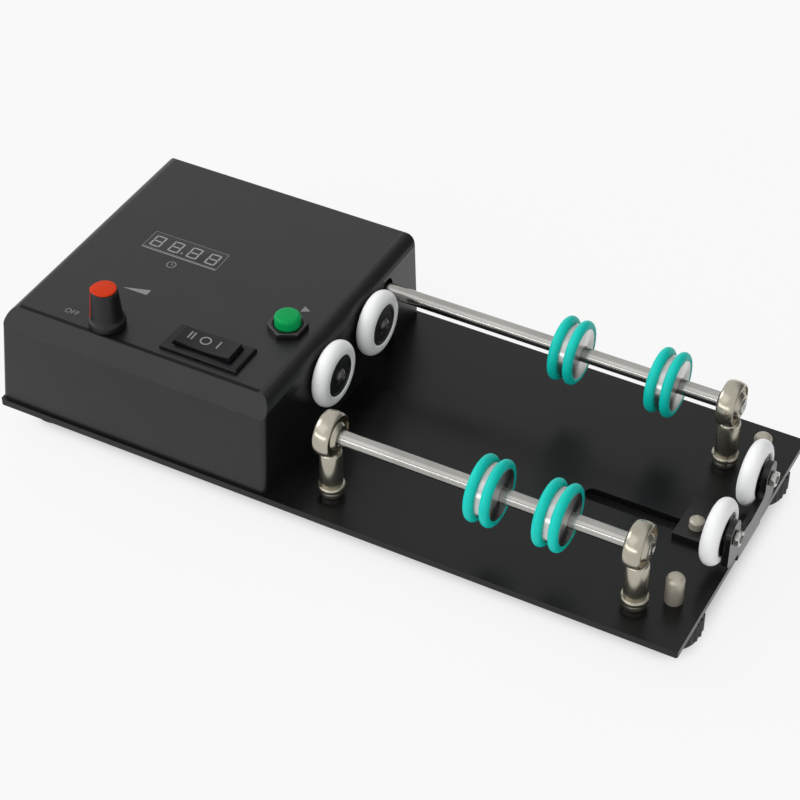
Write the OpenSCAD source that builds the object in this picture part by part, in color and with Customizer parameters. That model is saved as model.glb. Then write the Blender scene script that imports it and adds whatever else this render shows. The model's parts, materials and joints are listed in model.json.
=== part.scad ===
// Table-top rotary processor for film developing tanks: a base plate with a control housing on the
// left, a driven and a free roller shaft that turn the tank, and an end bracket with two guide
// wheels that slides in a slot to suit the length of the tank. Millimetres, z up, front is -y.

/* [Base plate] */
// Length of the base plate, left to right
plate_len = 290; // [285:1:320]
// Depth of the base plate, front to back
plate_w = 127; // [127:1:140]
// Thickness of the base plate
plate_t = 3; // [2.5:0.5:5]
// Radius of the plate's corners
plate_corner_r = 1; // [0.5:0.5:6]

/* [Control housing] */
// Length of the housing's footprint, left to right
housing_len = 121; // [118:0.5:122]
// Depth of the housing's footprint, front to back
housing_w = 124.6; // [120:0.2:125]
// Height of the control panel above the plate
housing_h = 40.5; // [40.5:0.5:46]
// Height of the crease between front wall and sloping strip
crease_h = 34; // [30:0.5:36]
// Depth of the sloping strip in front of the panel
strip_run = 7.6; // [5:0.2:10]
// Lean of the housing's front wall in degrees
draft = 5; // [3:0.5:6]
// Lean of the housing's left wall in degrees
side_draft = 3; // [2:0.5:4]
// Lean of the housing's right and rear walls in degrees
rear_draft = 1.2; // [1:0.1:2]
// Thickness of the housing's walls
wall_t = 2; // [1.6:0.2:2.4]
// Radius of the rounded top edge on the left
top_edge_r = 4.5; // [3:0.5:6]
// Radius of the rounded top edge on the right
right_edge_r = 6.5; // [4:0.5:7]
// Radius of the top edge at the rear
rear_edge_r = 1; // [0.5:0.5:3]
// Radius of the crease between front wall and strip
crease_r = 1.5; // [0.5:0.5:3]
// Radius of the edge between strip and panel
panel_edge_r = 1.2; // [0.4:0.2:2]
// Radius of the upright corners
corner_r = 2.5; // [1:0.5:4]
// Step between the plate's left edge and the housing
housing_gap_x = 0; // [0:0.5:2]
// Step between the plate's front edge and the housing
housing_gap_y = 1.4; // [1:0.2:2.4]

/* [Shafts and rod ends] */
// Diameter of both roller shafts
shaft_d = 6; // [5:0.5:6.5]
// Height of the shaft axes above the plate
shaft_h = 30; // [29:0.5:30]
// Distance of the free shaft from the plate's front edge
idler_y = 14.5; // [13:0.5:18]
// Distance of the driven shaft from the foot of the housing's rear wall
drive_y = 25.8; // [24:0.2:28]
// Distance of the left rod end from the plate's left edge
rod_left_x = 142.5; // [140:0.5:160]
// Distance of the right rod ends from the plate's right edge
rod_right_inset = 23.1; // [21:0.5:26]
// Diameter of a rod end's eye
rod_head_d = 18; // [17.5:0.5:20]
// Width of a rod end's eye
rod_head_w = 6.8; // [6:0.2:7.6]
// Diameter of the ball in a rod end
ball_d = 12.7; // [12:0.1:13]
// Width of the ball
ball_w = 9; // [8.6:0.2:10]
// Diameter of a rod end's shank
rod_shank_d = 9; // [8:0.2:9.4]
// Diameter of the collar on the shank
rod_collar_d = 10.6; // [10:0.2:11.4]
// Height of the collar
rod_collar_h = 2.5; // [2:0.1:3]
// Height of the plain foot under the collar
rod_foot_h = 3; // [2.5:0.1:4]
// How far a shaft stands out of its right-hand ball
shaft_stick = 0.6; // [0.2:0.1:1.5]

/* [Rollers] */
// Outer diameter of the rubber rings
ring_d = 26; // [25:0.5:27]
// Thickness of a rubber ring
ring_t = 3.5; // [3:0.1:4]
// Distance between the two rings of a roller
ring_pitch = 6.8; // [6:0.1:7.5]
// Diameter of the roller's metal core
roller_d = 23; // [22.4:0.1:23.6]
// Width of the roller's metal core
roller_w = 12; // [11.8:0.1:13]
// Diameter of the roller's waist between its rings
waist_d = 20.4; // [19.6:0.2:22]
// Middle of the inner driven roller from the right rod end
drive_inner_x = 66; // [52:0.1:86]
// Middle of the outer driven roller from the right rod end
drive_outer_x = 25.8; // [25.8:0.1:36]
// Middle of the inner free roller from the right rod end
idler_inner_x = 58.7; // [52:0.1:86]
// Middle of the outer free roller from the right rod end
idler_outer_x = 31.6; // [25.8:0.1:36]

/* [Guide wheels] */
// Diameter of the wheels on the housing
housing_wheel_d = 27; // [25:0.5:28]
// Diameter of the wheels on the end bracket
bracket_wheel_d = 26; // [24:0.5:26]
// Width of a wheel's tyre
tyre_w = 7; // [6:0.2:7.2]
// Outer diameter of a wheel's bearing
bearing_d = 17; // [15:0.5:18.5]
// Width of a wheel's bearing
bearing_w = 6.4; // [4:0.2:6.6]
// Diameter of the wheel screws
axle_d = 3; // [3:0.5:4]
// Distance of the rear housing wheel from the driven shaft
housing_wheel_y = 16.7; // [16.7:0.1:19]
// Distance between the two housing wheels
housing_wheel_pitch = 35; // [32:0.5:35]
// Height of the housing wheels above the plate
housing_wheel_z = 26.5; // [24:0.5:27]
// Distance between the two bracket wheels
bracket_wheel_pitch = 35.5; // [33:0.5:35.5]
// Height of the bracket wheels above the plate
bracket_wheel_z = 18; // [16:0.5:18]

/* [End bracket] */
// Thickness of the bracket's sheet
bracket_t = 2.5; // [2:0.1:3]
// How far the bracket stands out over the plate's right edge
bracket_over = 1.5; // [0:0.1:2]
// Length of the bracket's foot on the plate
bracket_foot_len = 26.2; // [22:0.2:28]
// Depth of the bracket's foot, front to back
bracket_foot_w = 22; // [20:0.5:23]
// Radius of the bracket's ears
ear_r = 5; // [4.4:0.2:5.6]
// Height of an ear's tip above its wheel's axis
ear_rise = 7; // [6:0.5:8]
// Height of the ears' lower edge above the plate
wing_z = 6; // [5:0.5:8]
// Height of the edge between the ears above the plate
web_z = 13; // [11:0.5:15]
// Inner radius of the bracket's bend
bend_r = 1.5; // [1:0.1:2.2]
// Length of the slot that guides the bracket
slot_len = 51.4; // [48:0.2:54]
// Distance of the slot's right end from the plate's right edge
slot_end_inset = 12; // [10:0.5:13]
// Distance of the slot in front of the bracket's middle
slot_y = 3.5; // [-3:0.5:6]
// Distance of the clamp screw from the plate's right edge
clamp_inset = 18; // [17:0.5:20]
// Diameter of the clamp screw's stud
clamp_d = 6; // [5:0.5:6]
// Diameter of the clamp screw's knurled head
clamp_head_d = 16; // [13:0.5:18]
// Height of the clamp screw's knurled head
clamp_head_h = 7; // [5:0.5:8]
// Height of the clamp stud's tip above the plate
clamp_tip_h = 6.6; // [6:0.2:12]

/* [Feet] */
// Height of the plate's underside above the table
foot_h = 12; // [11.5:0.5:16]
// Diameter of the ribbed feet
foot_d = 24; // [18:0.5:24]
// Diameter of a levelling foot's stud
stud_d = 7; // [5:0.5:8]
// Height of a stud's tip above the plate
stud_tip_h = 12.5; // [9:0.5:14]
// Gap between a levelling foot and the plate at rest
foot_gap = 1.5; // [1.4:0.1:3]
// Distance of the levelling feet from the plate's right edge
foot_inset_x = 11.5; // [11.5:0.5:13]
// Distance of the fixed feet from the plate's left edge
fixed_foot_x = 13; // [12.5:0.5:16]
// Distance of the front levelling foot from the plate's front edge
foot_inset_y = 23.3; // [20:0.1:26]
// Distance of the rear levelling foot from the plate's rear edge
foot_rear_inset = 18.5; // [16:0.5:24]
// Distance of the fixed feet from the housing's front and rear walls
fixed_foot_in = 19.6; // [19:0.2:24]

/* [Panel controls] */
// Distance of the speed knob from the plate's left edge
knob_x = 42.4; // [34:0.2:46]
// Distance of the speed knob from the plate's front edge
knob_y = 18.7; // [18.5:0.1:24]
// Diameter of the knob's skirt
knob_d = 14.6; // [14.2:0.2:17]
// Height of the knob
knob_h = 17.4; // [15:0.2:18]
// Middle of the rocker switch from the plate's left edge
rocker_x = 84.3; // [80:0.1:86]
// Middle of the rocker switch from the plate's front edge
rocker_y = 24; // [23:0.5:26]
// Length of the rocker switch's frame
rocker_len = 34; // [33:0.5:35]
// Depth of the rocker switch's frame
rocker_w = 15.5; // [15:0.1:17]
// Middle of the start button from the plate's left edge
button_x = 104.4; // [103:0.1:104.4]
// Middle of the start button from the plate's front edge
button_y = 49.4; // [47:0.1:60]
// Diameter of the start button's cap
button_d = 10.4; // [9.6:0.1:10.6]
// Travel of the start button
button_travel = 2.5; // [1.5:0.1:2.5]
// Middle of the display from the plate's left edge
display_x = 43.7; // [38:0.1:60]
// Middle of the display from the plate's front edge
display_y = 72.5; // [66:0.1:80]
// Length of the display's face
display_len = 35.2; // [30:0.2:40]
// Depth of the display's face
display_w = 11.5; // [10:0.1:14]

/* [Fits] */
// Gap of a running fit on the radius
run_fit = 0.05; // [0.02:0.01:0.1]
// Gap of a seat that is pushed together
seat_fit = 0.02; // [0.01:0.01:0.05]
// Gap around a piece that moves freely
free_gap = 0.3; // [0.3:0.05:0.5]

/* [View] */
// Sub-part to draw

/* [Hidden] */
$fn = 96;
lean = tan(draft);
side_lean = tan(side_draft);
rear_lean = tan(rear_draft);
shaft_r = shaft_d / 2;
axle_r = axle_d / 2;
stud_r = stud_d / 2;
clamp_r = clamp_d / 2;
housing_x1 = housing_gap_x + housing_len;
housing_y1 = housing_gap_y + housing_w;
panel_z = housing_h;
ceiling_z = housing_h - wall_t;
panel_y0 = housing_gap_y + crease_h * lean + strip_run;
drive_line_y = housing_y1 - drive_y;
rod_right_x = plate_len - rod_right_inset;
race_r = ball_d / 2 + run_fit;
liner_t = 1.4;
liner_r = ball_d / 2 + liner_t;
liner_dip = 0.4;
liner_w = rod_head_w - 2 * liner_dip;
rod_bolt_r = 3;
rod_bolt_depth = 12;
csk_r = 5.4;
csk_h = 2.4;
bolt_socket_r = 2.3;
bolt_socket_h = 1.6;
slot_x1 = plate_len - slot_end_inset;
slot_x0 = slot_x1 - slot_len;
clamp_x = plate_len - clamp_inset;
bracket_y = plate_w / 2;
slot_line_y = bracket_y - slot_y;
bracket_x1 = plate_len + bracket_over;
bracket_x0 = bracket_x1 - bracket_t;
wheel_gap = 0.4;
bracket_wheel_x = bracket_x0 - wheel_gap - tyre_w / 2;
boss_out = 0.35;
boss_len = 4.2;
boss_r = 5.6;
housing_boss_x = housing_x1 - housing_wheel_z * rear_lean + boss_out;
housing_boss_in = housing_boss_x - boss_len;
housing_wheel_x = housing_boss_x + free_gap + tyre_w / 2;
housing_wheel_rear_y = drive_line_y - housing_wheel_y;
housing_wheel_front_y = housing_wheel_rear_y - housing_wheel_pitch;
housing_wheel_ys = [housing_wheel_front_y, housing_wheel_rear_y];
outer_ring_t = 1.3;
inner_ring_t = 1.5;
spacer_t = 1.3;
shield_dip = 0.4;
axle_head_r = axle_r * 1.9;
axle_head_h = axle_r * 1.1;
nut_h = 2.4;
nut_across = 5.5;
screw_out = 0.3;
overall_len = bracket_x1 + nut_h + screw_out;
foot_right_x = plate_len - foot_inset_x;
foot_rear_y = plate_w - foot_rear_inset;
foot_bore_h = 5;
slide_gap = 0.05;
small_screw_r = 1.45;
small_head_r = 2.75;
small_head_h = 2;
small_screw_bite = 10;
corner_boss_r = 3.5;
corner_boss_h = 14;
corner_boss_in = 5.1;
housing_screw_spots = [
    [housing_gap_x + corner_boss_in, housing_gap_y + corner_boss_in],
    [housing_x1 - corner_boss_in, housing_gap_y + corner_boss_in],
    [housing_gap_x + corner_boss_in, housing_y1 - corner_boss_in],
    [housing_x1 - corner_boss_in, housing_y1 - corner_boss_in]
];
rod_spots = [[rod_left_x, idler_y], [rod_right_x, idler_y], [rod_right_x, drive_line_y]];
right_foot_spots = [[foot_right_x, foot_inset_y], [foot_right_x, foot_rear_y]];
left_foot_spots = [
    [fixed_foot_x, housing_gap_y + fixed_foot_in],
    [fixed_foot_x, housing_y1 - fixed_foot_in]
];
motor_r = 8;
motor_face_x = 80;
motor_len = 46;
gearbox_len = 19;
motor_plate_t = 2;
motor_foot_len = 20;
motor_foot_w = 24;
motor_screw_pitch = 12;
motor_screw_r = 1;
motor_head_r = 1.9;
motor_head_h = 1.3;
motor_screw_bite = 4;
motor_hole_h = 5;
motor_step = 0.3;
motor_boss_r = 3;
motor_boss_h = 2;
motor_shaft_r = 2;
motor_shaft_sit = 4;
motor_bore_gap = 1;
motor_foot_hole_in = 14;
motor_foot_hole_y = 8;
motor_screw_spots = [
    [motor_face_x - motor_foot_hole_in, drive_line_y - motor_foot_hole_y],
    [motor_face_x - motor_foot_hole_in, drive_line_y + motor_foot_hole_y]
];
coupling_r = 6.5;
coupling_len = 20;
coupling_x0 = 92;
coupling_gap = 1;
drive_x0 = coupling_x0 + coupling_len / 2;
drive_x1 = rod_right_x + ball_w / 2 + shaft_stick;
idler_x0 = rod_left_x - ball_w / 2 - shaft_stick;
notch_r = shaft_r + 1;
notch_lift = 0.8;
board_x0 = 22;
board_y0 = 34;
board_len = 62;
board_w = 34;
board_t = 1.6;
board_z = 8;
board_hole_in = 4;
board_screw_r = 1.5;
board_lap = 0.5;
standoff_r = 2.5;
standoff_tip = 1;
relay_spot = [8, 10];
relay_size = [10, 14, 10];
chip_spot = [30, 10];
chip_size = [14, 10, 1.6];
can_spot = [52, 17];
can_r = 4;
can_h = 10;
inlet_x = 21;
inlet_z = 16;
inlet_r = 4;
inlet_flange_r = 5.5;
inlet_flange_t = 0.9;
inlet_pad_r = 7;
inlet_pad_out = 0.3;
inlet_pad_len = 4.6;
inlet_pad_y = housing_y1 - inlet_z * rear_lean + inlet_pad_out;
inlet_pad_in = inlet_pad_y - inlet_pad_len;
inlet_nut_across = 11;
inlet_nut_h = 2;
inlet_pin_r = 1;
inlet_len = 16;
plug_r = 2.8;
plug_depth = 10;
knob_gap = 0.4;
knob_skirt_h = 3.4;
skirt_edge_h = 2.6;
skirt_round = 0.7;
root_round = 1.2;
knob_top_round = 0.5;
knob_body_r0 = 6.3;
knob_body_r1 = 5.25;
knob_cap_r = 4.8;
knob_cap_t = 0.9;
knob_bore_h = 13;
pointer_turn = 210;
pointer_w = 1.3;
pointer_proud = 0.15;
pointer_sink = 0.7;
pointer_slant = 0.5;
pointer_lap = 1;
pot_bush_r = 3.5;
pot_bush_top = 4.4;
pot_nut_across = 10;
pot_nut_h = 2;
pot_body_r = 8;
pot_body_h = 9;
pot_shoulder = 2.6;
pot_shoulder_r = 5.3;
pot_floor = 2;
blind_gap = 0.2;
pot_shaft_out = 12;
rocker_body_len = 28;
rocker_body_w = 12;
rocker_body_h = 16;
rocker_flange_h = 1.8;
rocker_rim_r = 1.1;
rocker_floor = 7;
rocker_lap = 0.5;
paddle_r = 12.9;
paddle_w = 9.5;
paddle_top = 4.5;
paddle_dip = 1;
paddle_low = -2.5;
pivot_drop = 0.5;
pivot_z = panel_z - pivot_drop;
trunnion_r = 1.2;
trunnion_len = 0.6;
button_nut_across = 14;
button_nut_h = 2.5;
button_barrel_r = 6;
button_low_r = 5.4;
button_low_h = 12;
button_flange_r = 7.4;
button_flange_t = 2;
button_floor = 2;
button_stem_len = 8;
button_crown = 1.6;
button_rise = 0.3;
button_lap = 0.5;
button_nut_edge = 0.3;
button_top = 7;
button_sit = 0.4;
button_stem_r = 2.5;
button_turn = 28;
display_rim = 2.5;
display_lap = 1;
display_block_len = display_len + 2 * display_rim;
display_block_w = display_w + 2 * display_rim;
display_block_h = 7;
black_plastic = [0.17, 0.17, 0.18];
dark_paint = [0.2, 0.2, 0.2];
bright_steel = [0.72, 0.71, 0.68];
nickel = [0.62, 0.6, 0.55];
white_nylon = [0.92, 0.92, 0.9];
ring_rubber = [0.12, 0.68, 0.64];

function unit(v) = v / norm(v);

// Arc of radius r that rounds the corner b between its neighbours a and c
function corner_arc(a, b, c, r, n) =
    r <= 0 ? [b] :
    let(
        u = unit(a - b),
        v = unit(c - b),
        half = acos(u * v) / 2,
        centre = b + unit(u + v) * r / sin(half),
        p = b + u * r / tan(half) - centre,
        q = b + v * r / tan(half) - centre,
        start = atan2(p[1], p[0]),
        turn = (atan2(q[1], q[0]) - start + 540) % 360 - 180
    )
    [for (i = [0:n]) centre + r * [cos(start + turn * i / n), sin(start + turn * i / n)]];

// Outline with each corner rounded by its own radius
function rounded(points, radii, n = 8) =
    let(m = len(points))
    [for (i = [0:m - 1])
        each corner_arc(points[(i + m - 1) % m], points[i], points[(i + 1) % m], radii[i], n)];

// Convex outline moved inwards by d
function inset_outline(points, d) =
    let(m = len(points))
    [for (i = [0:m - 1])
        let(
            b = points[i],
            u = unit(points[(i + m - 1) % m] - b),
            v = unit(points[(i + 1) % m] - b)
        )
        b + unit(u + v) * d / sin(acos(u * v) / 2)];

// Outline of a round grip with soft ribs
function ribbed(r, depth, count, n = 6) =
    [for (i = [0:count * n - 1])
        let(a = 360 * i / (count * n))
        (r - depth * (1 - cos(count * a)) / 2) * [cos(a), sin(a)]];

// From the plate's front left top corner to the shared frame
module placed() {
    translate([-overall_len / 2, -plate_w / 2, foot_h + plate_t])
        children();
}

// Turns a piece so that its own z axis runs to the right
module facing_right(x, y, z) {
    translate([x, y, z])
        rotate([0, 90, 0])
            children();
}

module tube(r_out, r_in, h) {
    difference() {
        cylinder(r = r_out, h = h);
        translate([0, 0, -1])
            cylinder(r = r_in, h = h + 2);
    }
}

module hex_nut(across, bore_r, h) {
    difference() {
        cylinder(r = across / 2 / cos(30), h = h, $fn = 6);
        translate([0, 0, -1])
            cylinder(r = bore_r, h = h + 2);
    }
}

// Pin with a domed tip
module domed_pin(r, h) {
    dome_r = r * 1.5;
    cap_h = dome_r - sqrt(dome_r * dome_r - r * r);
    cylinder(r = r, h = h - cap_h);
    translate([0, 0, h - cap_h])
        intersection() {
            cylinder(r = r, h = cap_h);
            translate([0, 0, cap_h - dome_r])
                sphere(r = dome_r);
        }
}

// Button-head screw along z: head below z = 0, shank above
module button_screw(r, head_r, head_h, h) {
    dome_r = (head_r * head_r + head_h * head_h) / (2 * head_h);
    difference() {
        union() {
            intersection() {
                translate([0, 0, -head_h])
                    cylinder(r = head_r, h = head_h);
                translate([0, 0, dome_r - head_h])
                    sphere(r = dome_r);
            }
            cylinder(r = r, h = h);
        }
        translate([0, 0, -head_h - 1])
            cylinder(r = r * 0.75, h = head_h * 0.6 + 1, $fn = 6);
    }
}

module base_plate() {
    color(dark_paint)
        placed()
            difference() {
                union() {
                    translate([plate_corner_r, 0, -plate_t])
                        cube([plate_len - 2 * plate_corner_r, plate_w, plate_t]);
                    translate([0, plate_corner_r, -plate_t])
                        cube([plate_len, plate_w - 2 * plate_corner_r, plate_t]);
                    for (x = [plate_corner_r, plate_len - plate_corner_r])
                        for (y = [plate_corner_r, plate_w - plate_corner_r])
                            translate([x, y, -plate_t])
                                cylinder(r = plate_corner_r, h = plate_t);
                }
                for (s = rod_spots)
                    translate([s[0], s[1], -plate_t]) {
                        translate([0, 0, -1])
                            cylinder(r = rod_bolt_r + run_fit, h = plate_t + 2);
                        cylinder(r1 = csk_r + run_fit, r2 = rod_bolt_r + run_fit, h = csk_h);
                    }
                for (s = right_foot_spots)
                    translate([s[0], s[1], -plate_t - 1])
                        cylinder(r = stud_r + run_fit, h = plate_t + 2);
                for (s = concat(housing_screw_spots, motor_screw_spots))
                    translate([s[0], s[1], -plate_t - 1])
                        cylinder(r = small_screw_r + run_fit, h = plate_t + 2);
                for (x = [slot_x0 + clamp_r + free_gap, slot_x1 - clamp_r - free_gap])
                    translate([x, slot_line_y, -plate_t - 1])
                        cylinder(r = clamp_r + free_gap, h = plate_t + 2);
                translate([slot_x0 + clamp_r + free_gap, slot_line_y - clamp_r - free_gap, -plate_t - 1])
                    cube([slot_len - 2 * clamp_r - 2 * free_gap, 2 * clamp_r + 2 * free_gap, plate_t + 2]);
            }
}

// Removes one upright corner of the housing's form, leaving a round of radius r along the leaning edge
module corner_cut(x, y, sx, sy, x_draft, y_draft, r, n) {
    reach = r + 4;
    grown = r + 0.05;
    turn_y = atan(sx * tan(x_draft));
    turn_x = -atan(sy * tan(y_draft) * cos(turn_y));
    arc = [for (i = [0:n]) [-sx * grown * sin(90 * i / n), -sy * grown * cos(90 * i / n)]];
    translate([x + sx * r / cos(x_draft), y + sy * r / cos(y_draft), 0])
        rotate([turn_x, turn_y, 0])
            translate([0, 0, -10])
                linear_extrude(housing_h + 20)
                    polygon(concat(arc, [[-sx * reach, 0], [-sx * reach, -sy * reach], [0, -sy * reach]]));
}

// The housing's form with sharp upright corners, moved inwards by d for its hollow
module housing_block(d, n) {
    low = -6;
    over = 5;
    r_left = max(top_edge_r - d, 0);
    r_right = max(right_edge_r - d, 0);
    side = [
        [housing_gap_y + low * lean, low],
        [housing_gap_y + crease_h * lean, crease_h],
        [panel_y0, housing_h],
        [housing_y1 - housing_h * rear_lean, housing_h],
        [housing_y1 - low * rear_lean, low]
    ];
    side_radii = [0, max(crease_r - d, 0), max(panel_edge_r - d, 0), max(rear_edge_r - d, 0), 0];
    front = [
        [housing_gap_x + low * side_lean, low],
        [housing_gap_x + housing_h * side_lean, housing_h],
        [housing_x1 - housing_h * rear_lean, housing_h],
        [housing_x1 - low * rear_lean, low]
    ];
    intersection() {
        translate([housing_gap_x - over, 0, 0])
            rotate([90, 0, 90])
                linear_extrude(housing_len + 2 * over)
                    polygon(rounded(inset_outline(side, d), side_radii, n));
        translate([0, housing_y1 + over, 0])
            rotate([90, 0, 0])
                linear_extrude(housing_w + 2 * over)
                    polygon(rounded(inset_outline(front, d), [0, r_left, r_right, 0], n));
    }
}

// The housing's outer form
module housing_form(n) {
    difference() {
        housing_block(0, n);
        corner_cut(housing_gap_x, housing_gap_y, 1, 1, side_draft, draft, corner_r, n);
        corner_cut(housing_x1, housing_gap_y, -1, 1, rear_draft, draft, corner_r, n);
        corner_cut(housing_gap_x, housing_y1, 1, -1, side_draft, rear_draft, corner_r, n);
        corner_cut(housing_x1, housing_y1, -1, -1, rear_draft, rear_draft, corner_r, n);
    }
}

// Cut for a rectangular piece that sits in the panel
module panel_window(x, y, length, width) {
    cut_len = length + 2 * run_fit;
    cut_w = width + 2 * run_fit;
    translate([x - cut_len / 2, y - cut_w / 2, ceiling_z - 1])
        cube([cut_len, cut_w, wall_t + 2]);
}

module control_housing() {
    color(black_plastic)
        placed()
            difference() {
                union() {
                    difference() {
                        housing_form(6);
                        housing_block(wall_t, 2);
                        translate([-10, -10, -20])
                            cube([housing_len + 30, housing_w + 30, 20]);
                    }
                    for (s = housing_screw_spots)
                        translate([s[0], s[1], 0])
                            cylinder(r = corner_boss_r, h = corner_boss_h);
                    for (y = housing_wheel_ys)
                        facing_right(housing_boss_in, y, housing_wheel_z)
                            cylinder(r = boss_r, h = housing_boss_x - housing_boss_in);
                    translate([inlet_x, inlet_pad_y, inlet_z])
                        rotate([90, 0, 0])
                            cylinder(r = inlet_pad_r, h = inlet_pad_y - inlet_pad_in);
                }
                for (s = housing_screw_spots)
                    translate([s[0], s[1], -1])
                        cylinder(r = small_screw_r + seat_fit, h = corner_boss_h - 1);
                for (y = housing_wheel_ys)
                    facing_right(housing_boss_in - 1, y, housing_wheel_z)
                        cylinder(r = axle_r + run_fit, h = 10);
                translate([inlet_x, inlet_pad_y + 1, inlet_z])
                    rotate([90, 0, 0])
                        cylinder(r = inlet_r + run_fit, h = 10);
                facing_right(housing_x1 - 10, drive_line_y, shaft_h + notch_lift)
                    cylinder(r = notch_r, h = 20);
                translate([housing_x1 - 10, drive_line_y - notch_r, -1])
                    cube([20, 2 * notch_r, shaft_h + notch_lift + 1]);
                translate([knob_x, knob_y, ceiling_z - 1])
                    cylinder(r = pot_bush_r + run_fit, h = wall_t + 2);
                translate([button_x, button_y, ceiling_z - 1])
                    cylinder(r = button_barrel_r + run_fit, h = wall_t + 2);
                panel_window(rocker_x, rocker_y, rocker_body_len, rocker_body_w);
                panel_window(display_x, display_y, display_len, display_w);
            }
}

module housing_screws() {
    color(bright_steel)
        placed()
            for (s = housing_screw_spots)
                translate([s[0], s[1], -plate_t])
                    button_screw(small_screw_r, small_head_r, small_head_h, plate_t + small_screw_bite);
}

// Rod end standing on the plate, its eye facing left and right
module rod_end(spot) {
    edge = 1.2;
    eye_r = rod_head_d / 2;
    color(nickel)
        placed()
            translate([spot[0], spot[1], 0])
                difference() {
                    union() {
                        cylinder(d = rod_shank_d, h = shaft_h - eye_r / 2);
                        translate([0, 0, rod_foot_h])
                            cylinder(d = rod_collar_d, h = rod_collar_h);
                        translate([0, 0, shaft_h])
                            rotate([0, 90, 0])
                                rotate_extrude()
                                    polygon([
                                        [0, -rod_head_w / 2],
                                        [eye_r - edge, -rod_head_w / 2],
                                        [eye_r, -rod_head_w / 2 + edge],
                                        [eye_r, rod_head_w / 2 - edge],
                                        [eye_r - edge, rod_head_w / 2],
                                        [0, rod_head_w / 2]
                                    ]);
                    }
                    facing_right(-rod_head_w, 0, shaft_h)
                        cylinder(r = liner_r, h = 2 * rod_head_w);
                    translate([0, 0, -1])
                        cylinder(r = rod_bolt_r, h = rod_bolt_depth + 2);
                }
}

module rod_end_front_left() {
    rod_end(rod_spots[0]);
}

module rod_end_front_right() {
    rod_end(rod_spots[1]);
}

module rod_end_rear_right() {
    rod_end(rod_spots[2]);
}

module rod_end_liners() {
    color([0.62, 0.48, 0.28])
        placed()
            for (s = rod_spots)
                facing_right(s[0], s[1], shaft_h)
                    difference() {
                        cylinder(r = liner_r, h = liner_w, center = true);
                        sphere(r = race_r);
                    }
}

module rod_end_bolts() {
    color(bright_steel)
        placed()
            for (s = rod_spots)
                translate([s[0], s[1], -plate_t])
                    difference() {
                        union() {
                            cylinder(r1 = csk_r, r2 = rod_bolt_r, h = csk_h);
                            cylinder(r = rod_bolt_r, h = plate_t + rod_bolt_depth);
                        }
                        translate([0, 0, -1])
                            cylinder(r = bolt_socket_r, h = bolt_socket_h + 1, $fn = 6);
                    }
}

module rod_ball(x, y) {
    color(bright_steel)
        placed()
            facing_right(x, y, shaft_h)
                difference() {
                    intersection() {
                        sphere(d = ball_d);
                        cylinder(d = ball_d + 2, h = ball_w, center = true);
                    }
                    cylinder(r = shaft_r, h = ball_w + 2, center = true);
                }
}

module rod_end_ball_front_left() {
    rod_ball(rod_left_x, idler_y);
}

module rod_end_ball_front_right() {
    rod_ball(rod_right_x, idler_y);
}

module rod_end_ball_rear_right() {
    rod_ball(rod_right_x, drive_line_y);
}

module time_display() {
    color([0.12, 0.13, 0.14])
        placed()
            translate([display_x, display_y, ceiling_z]) {
                translate([-display_len / 2, -display_w / 2, -display_lap])
                    cube([display_len, display_w, wall_t + display_lap]);
                translate([-display_block_len / 2, -display_block_w / 2, -display_block_h])
                    cube([display_block_len, display_block_w, display_block_h]);
            }
}

module rocker_frame() {
    hollow_len = 2 * (paddle_r + free_gap);
    hollow_w = paddle_w + 2 * free_gap;
    rim = [
        [-rocker_len / 2, 0],
        [rocker_len / 2, 0],
        [rocker_len / 2, rocker_flange_h],
        [-rocker_len / 2, rocker_flange_h]
    ];
    rim_depth = [
        [-rocker_w / 2, 0],
        [rocker_w / 2, 0],
        [rocker_w / 2, rocker_flange_h],
        [-rocker_w / 2, rocker_flange_h]
    ];
    color([0.1, 0.1, 0.1])
        placed()
            translate([rocker_x, rocker_y, panel_z])
                difference() {
                    union() {
                        intersection() {
                            translate([0, rocker_w / 2, 0])
                                rotate([90, 0, 0])
                                    linear_extrude(rocker_w)
                                        polygon(rounded(rim, [0, 0, rocker_rim_r, rocker_rim_r]));
                            translate([-rocker_len / 2, 0, 0])
                                rotate([90, 0, 90])
                                    linear_extrude(rocker_len)
                                        polygon(rounded(rim_depth, [0, 0, rocker_rim_r, rocker_rim_r]));
                        }
                        translate([-rocker_body_len / 2, -rocker_body_w / 2, -rocker_body_h])
                            cube([rocker_body_len, rocker_body_w, rocker_body_h + rocker_lap]);
                    }
                    translate([-hollow_len / 2, -hollow_w / 2, -pivot_drop - rocker_floor])
                        cube([hollow_len, hollow_w, 20]);
                    translate([0, rocker_w / 2, -pivot_drop])
                        rotate([90, 0, 0])
                            cylinder(r = trunnion_r + run_fit, h = rocker_w);
                }
}

module rocker_paddle() {
    low_turn = asin(paddle_low / paddle_r);
    high_turn = asin(paddle_top / paddle_r);
    steps = 10;
    arc = [for (i = [0:steps])
        let(a = low_turn + (high_turn - low_turn) * i / steps)
        paddle_r * [cos(a), sin(a)]];
    dish = [for (i = [1:steps - 1])
        let(t = 1 - 2 * i / steps)
        [arc[steps][0] * t, paddle_top - paddle_dip * (1 - t * t)]];
    other = [for (i = [steps:-1:0]) [-arc[i][0], arc[i][1]]];
    color([0.08, 0.08, 0.08])
        placed()
            translate([rocker_x, rocker_y, pivot_z]) {
                translate([0, paddle_w / 2, 0])
                    rotate([90, 0, 0])
                        linear_extrude(paddle_w)
                            polygon(concat(arc, dish, other));
                translate([0, paddle_w / 2 + free_gap + trunnion_len, 0])
                    rotate([90, 0, 0])
                        cylinder(r = trunnion_r, h = paddle_w + 2 * free_gap + 2 * trunnion_len);
            }
}

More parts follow.
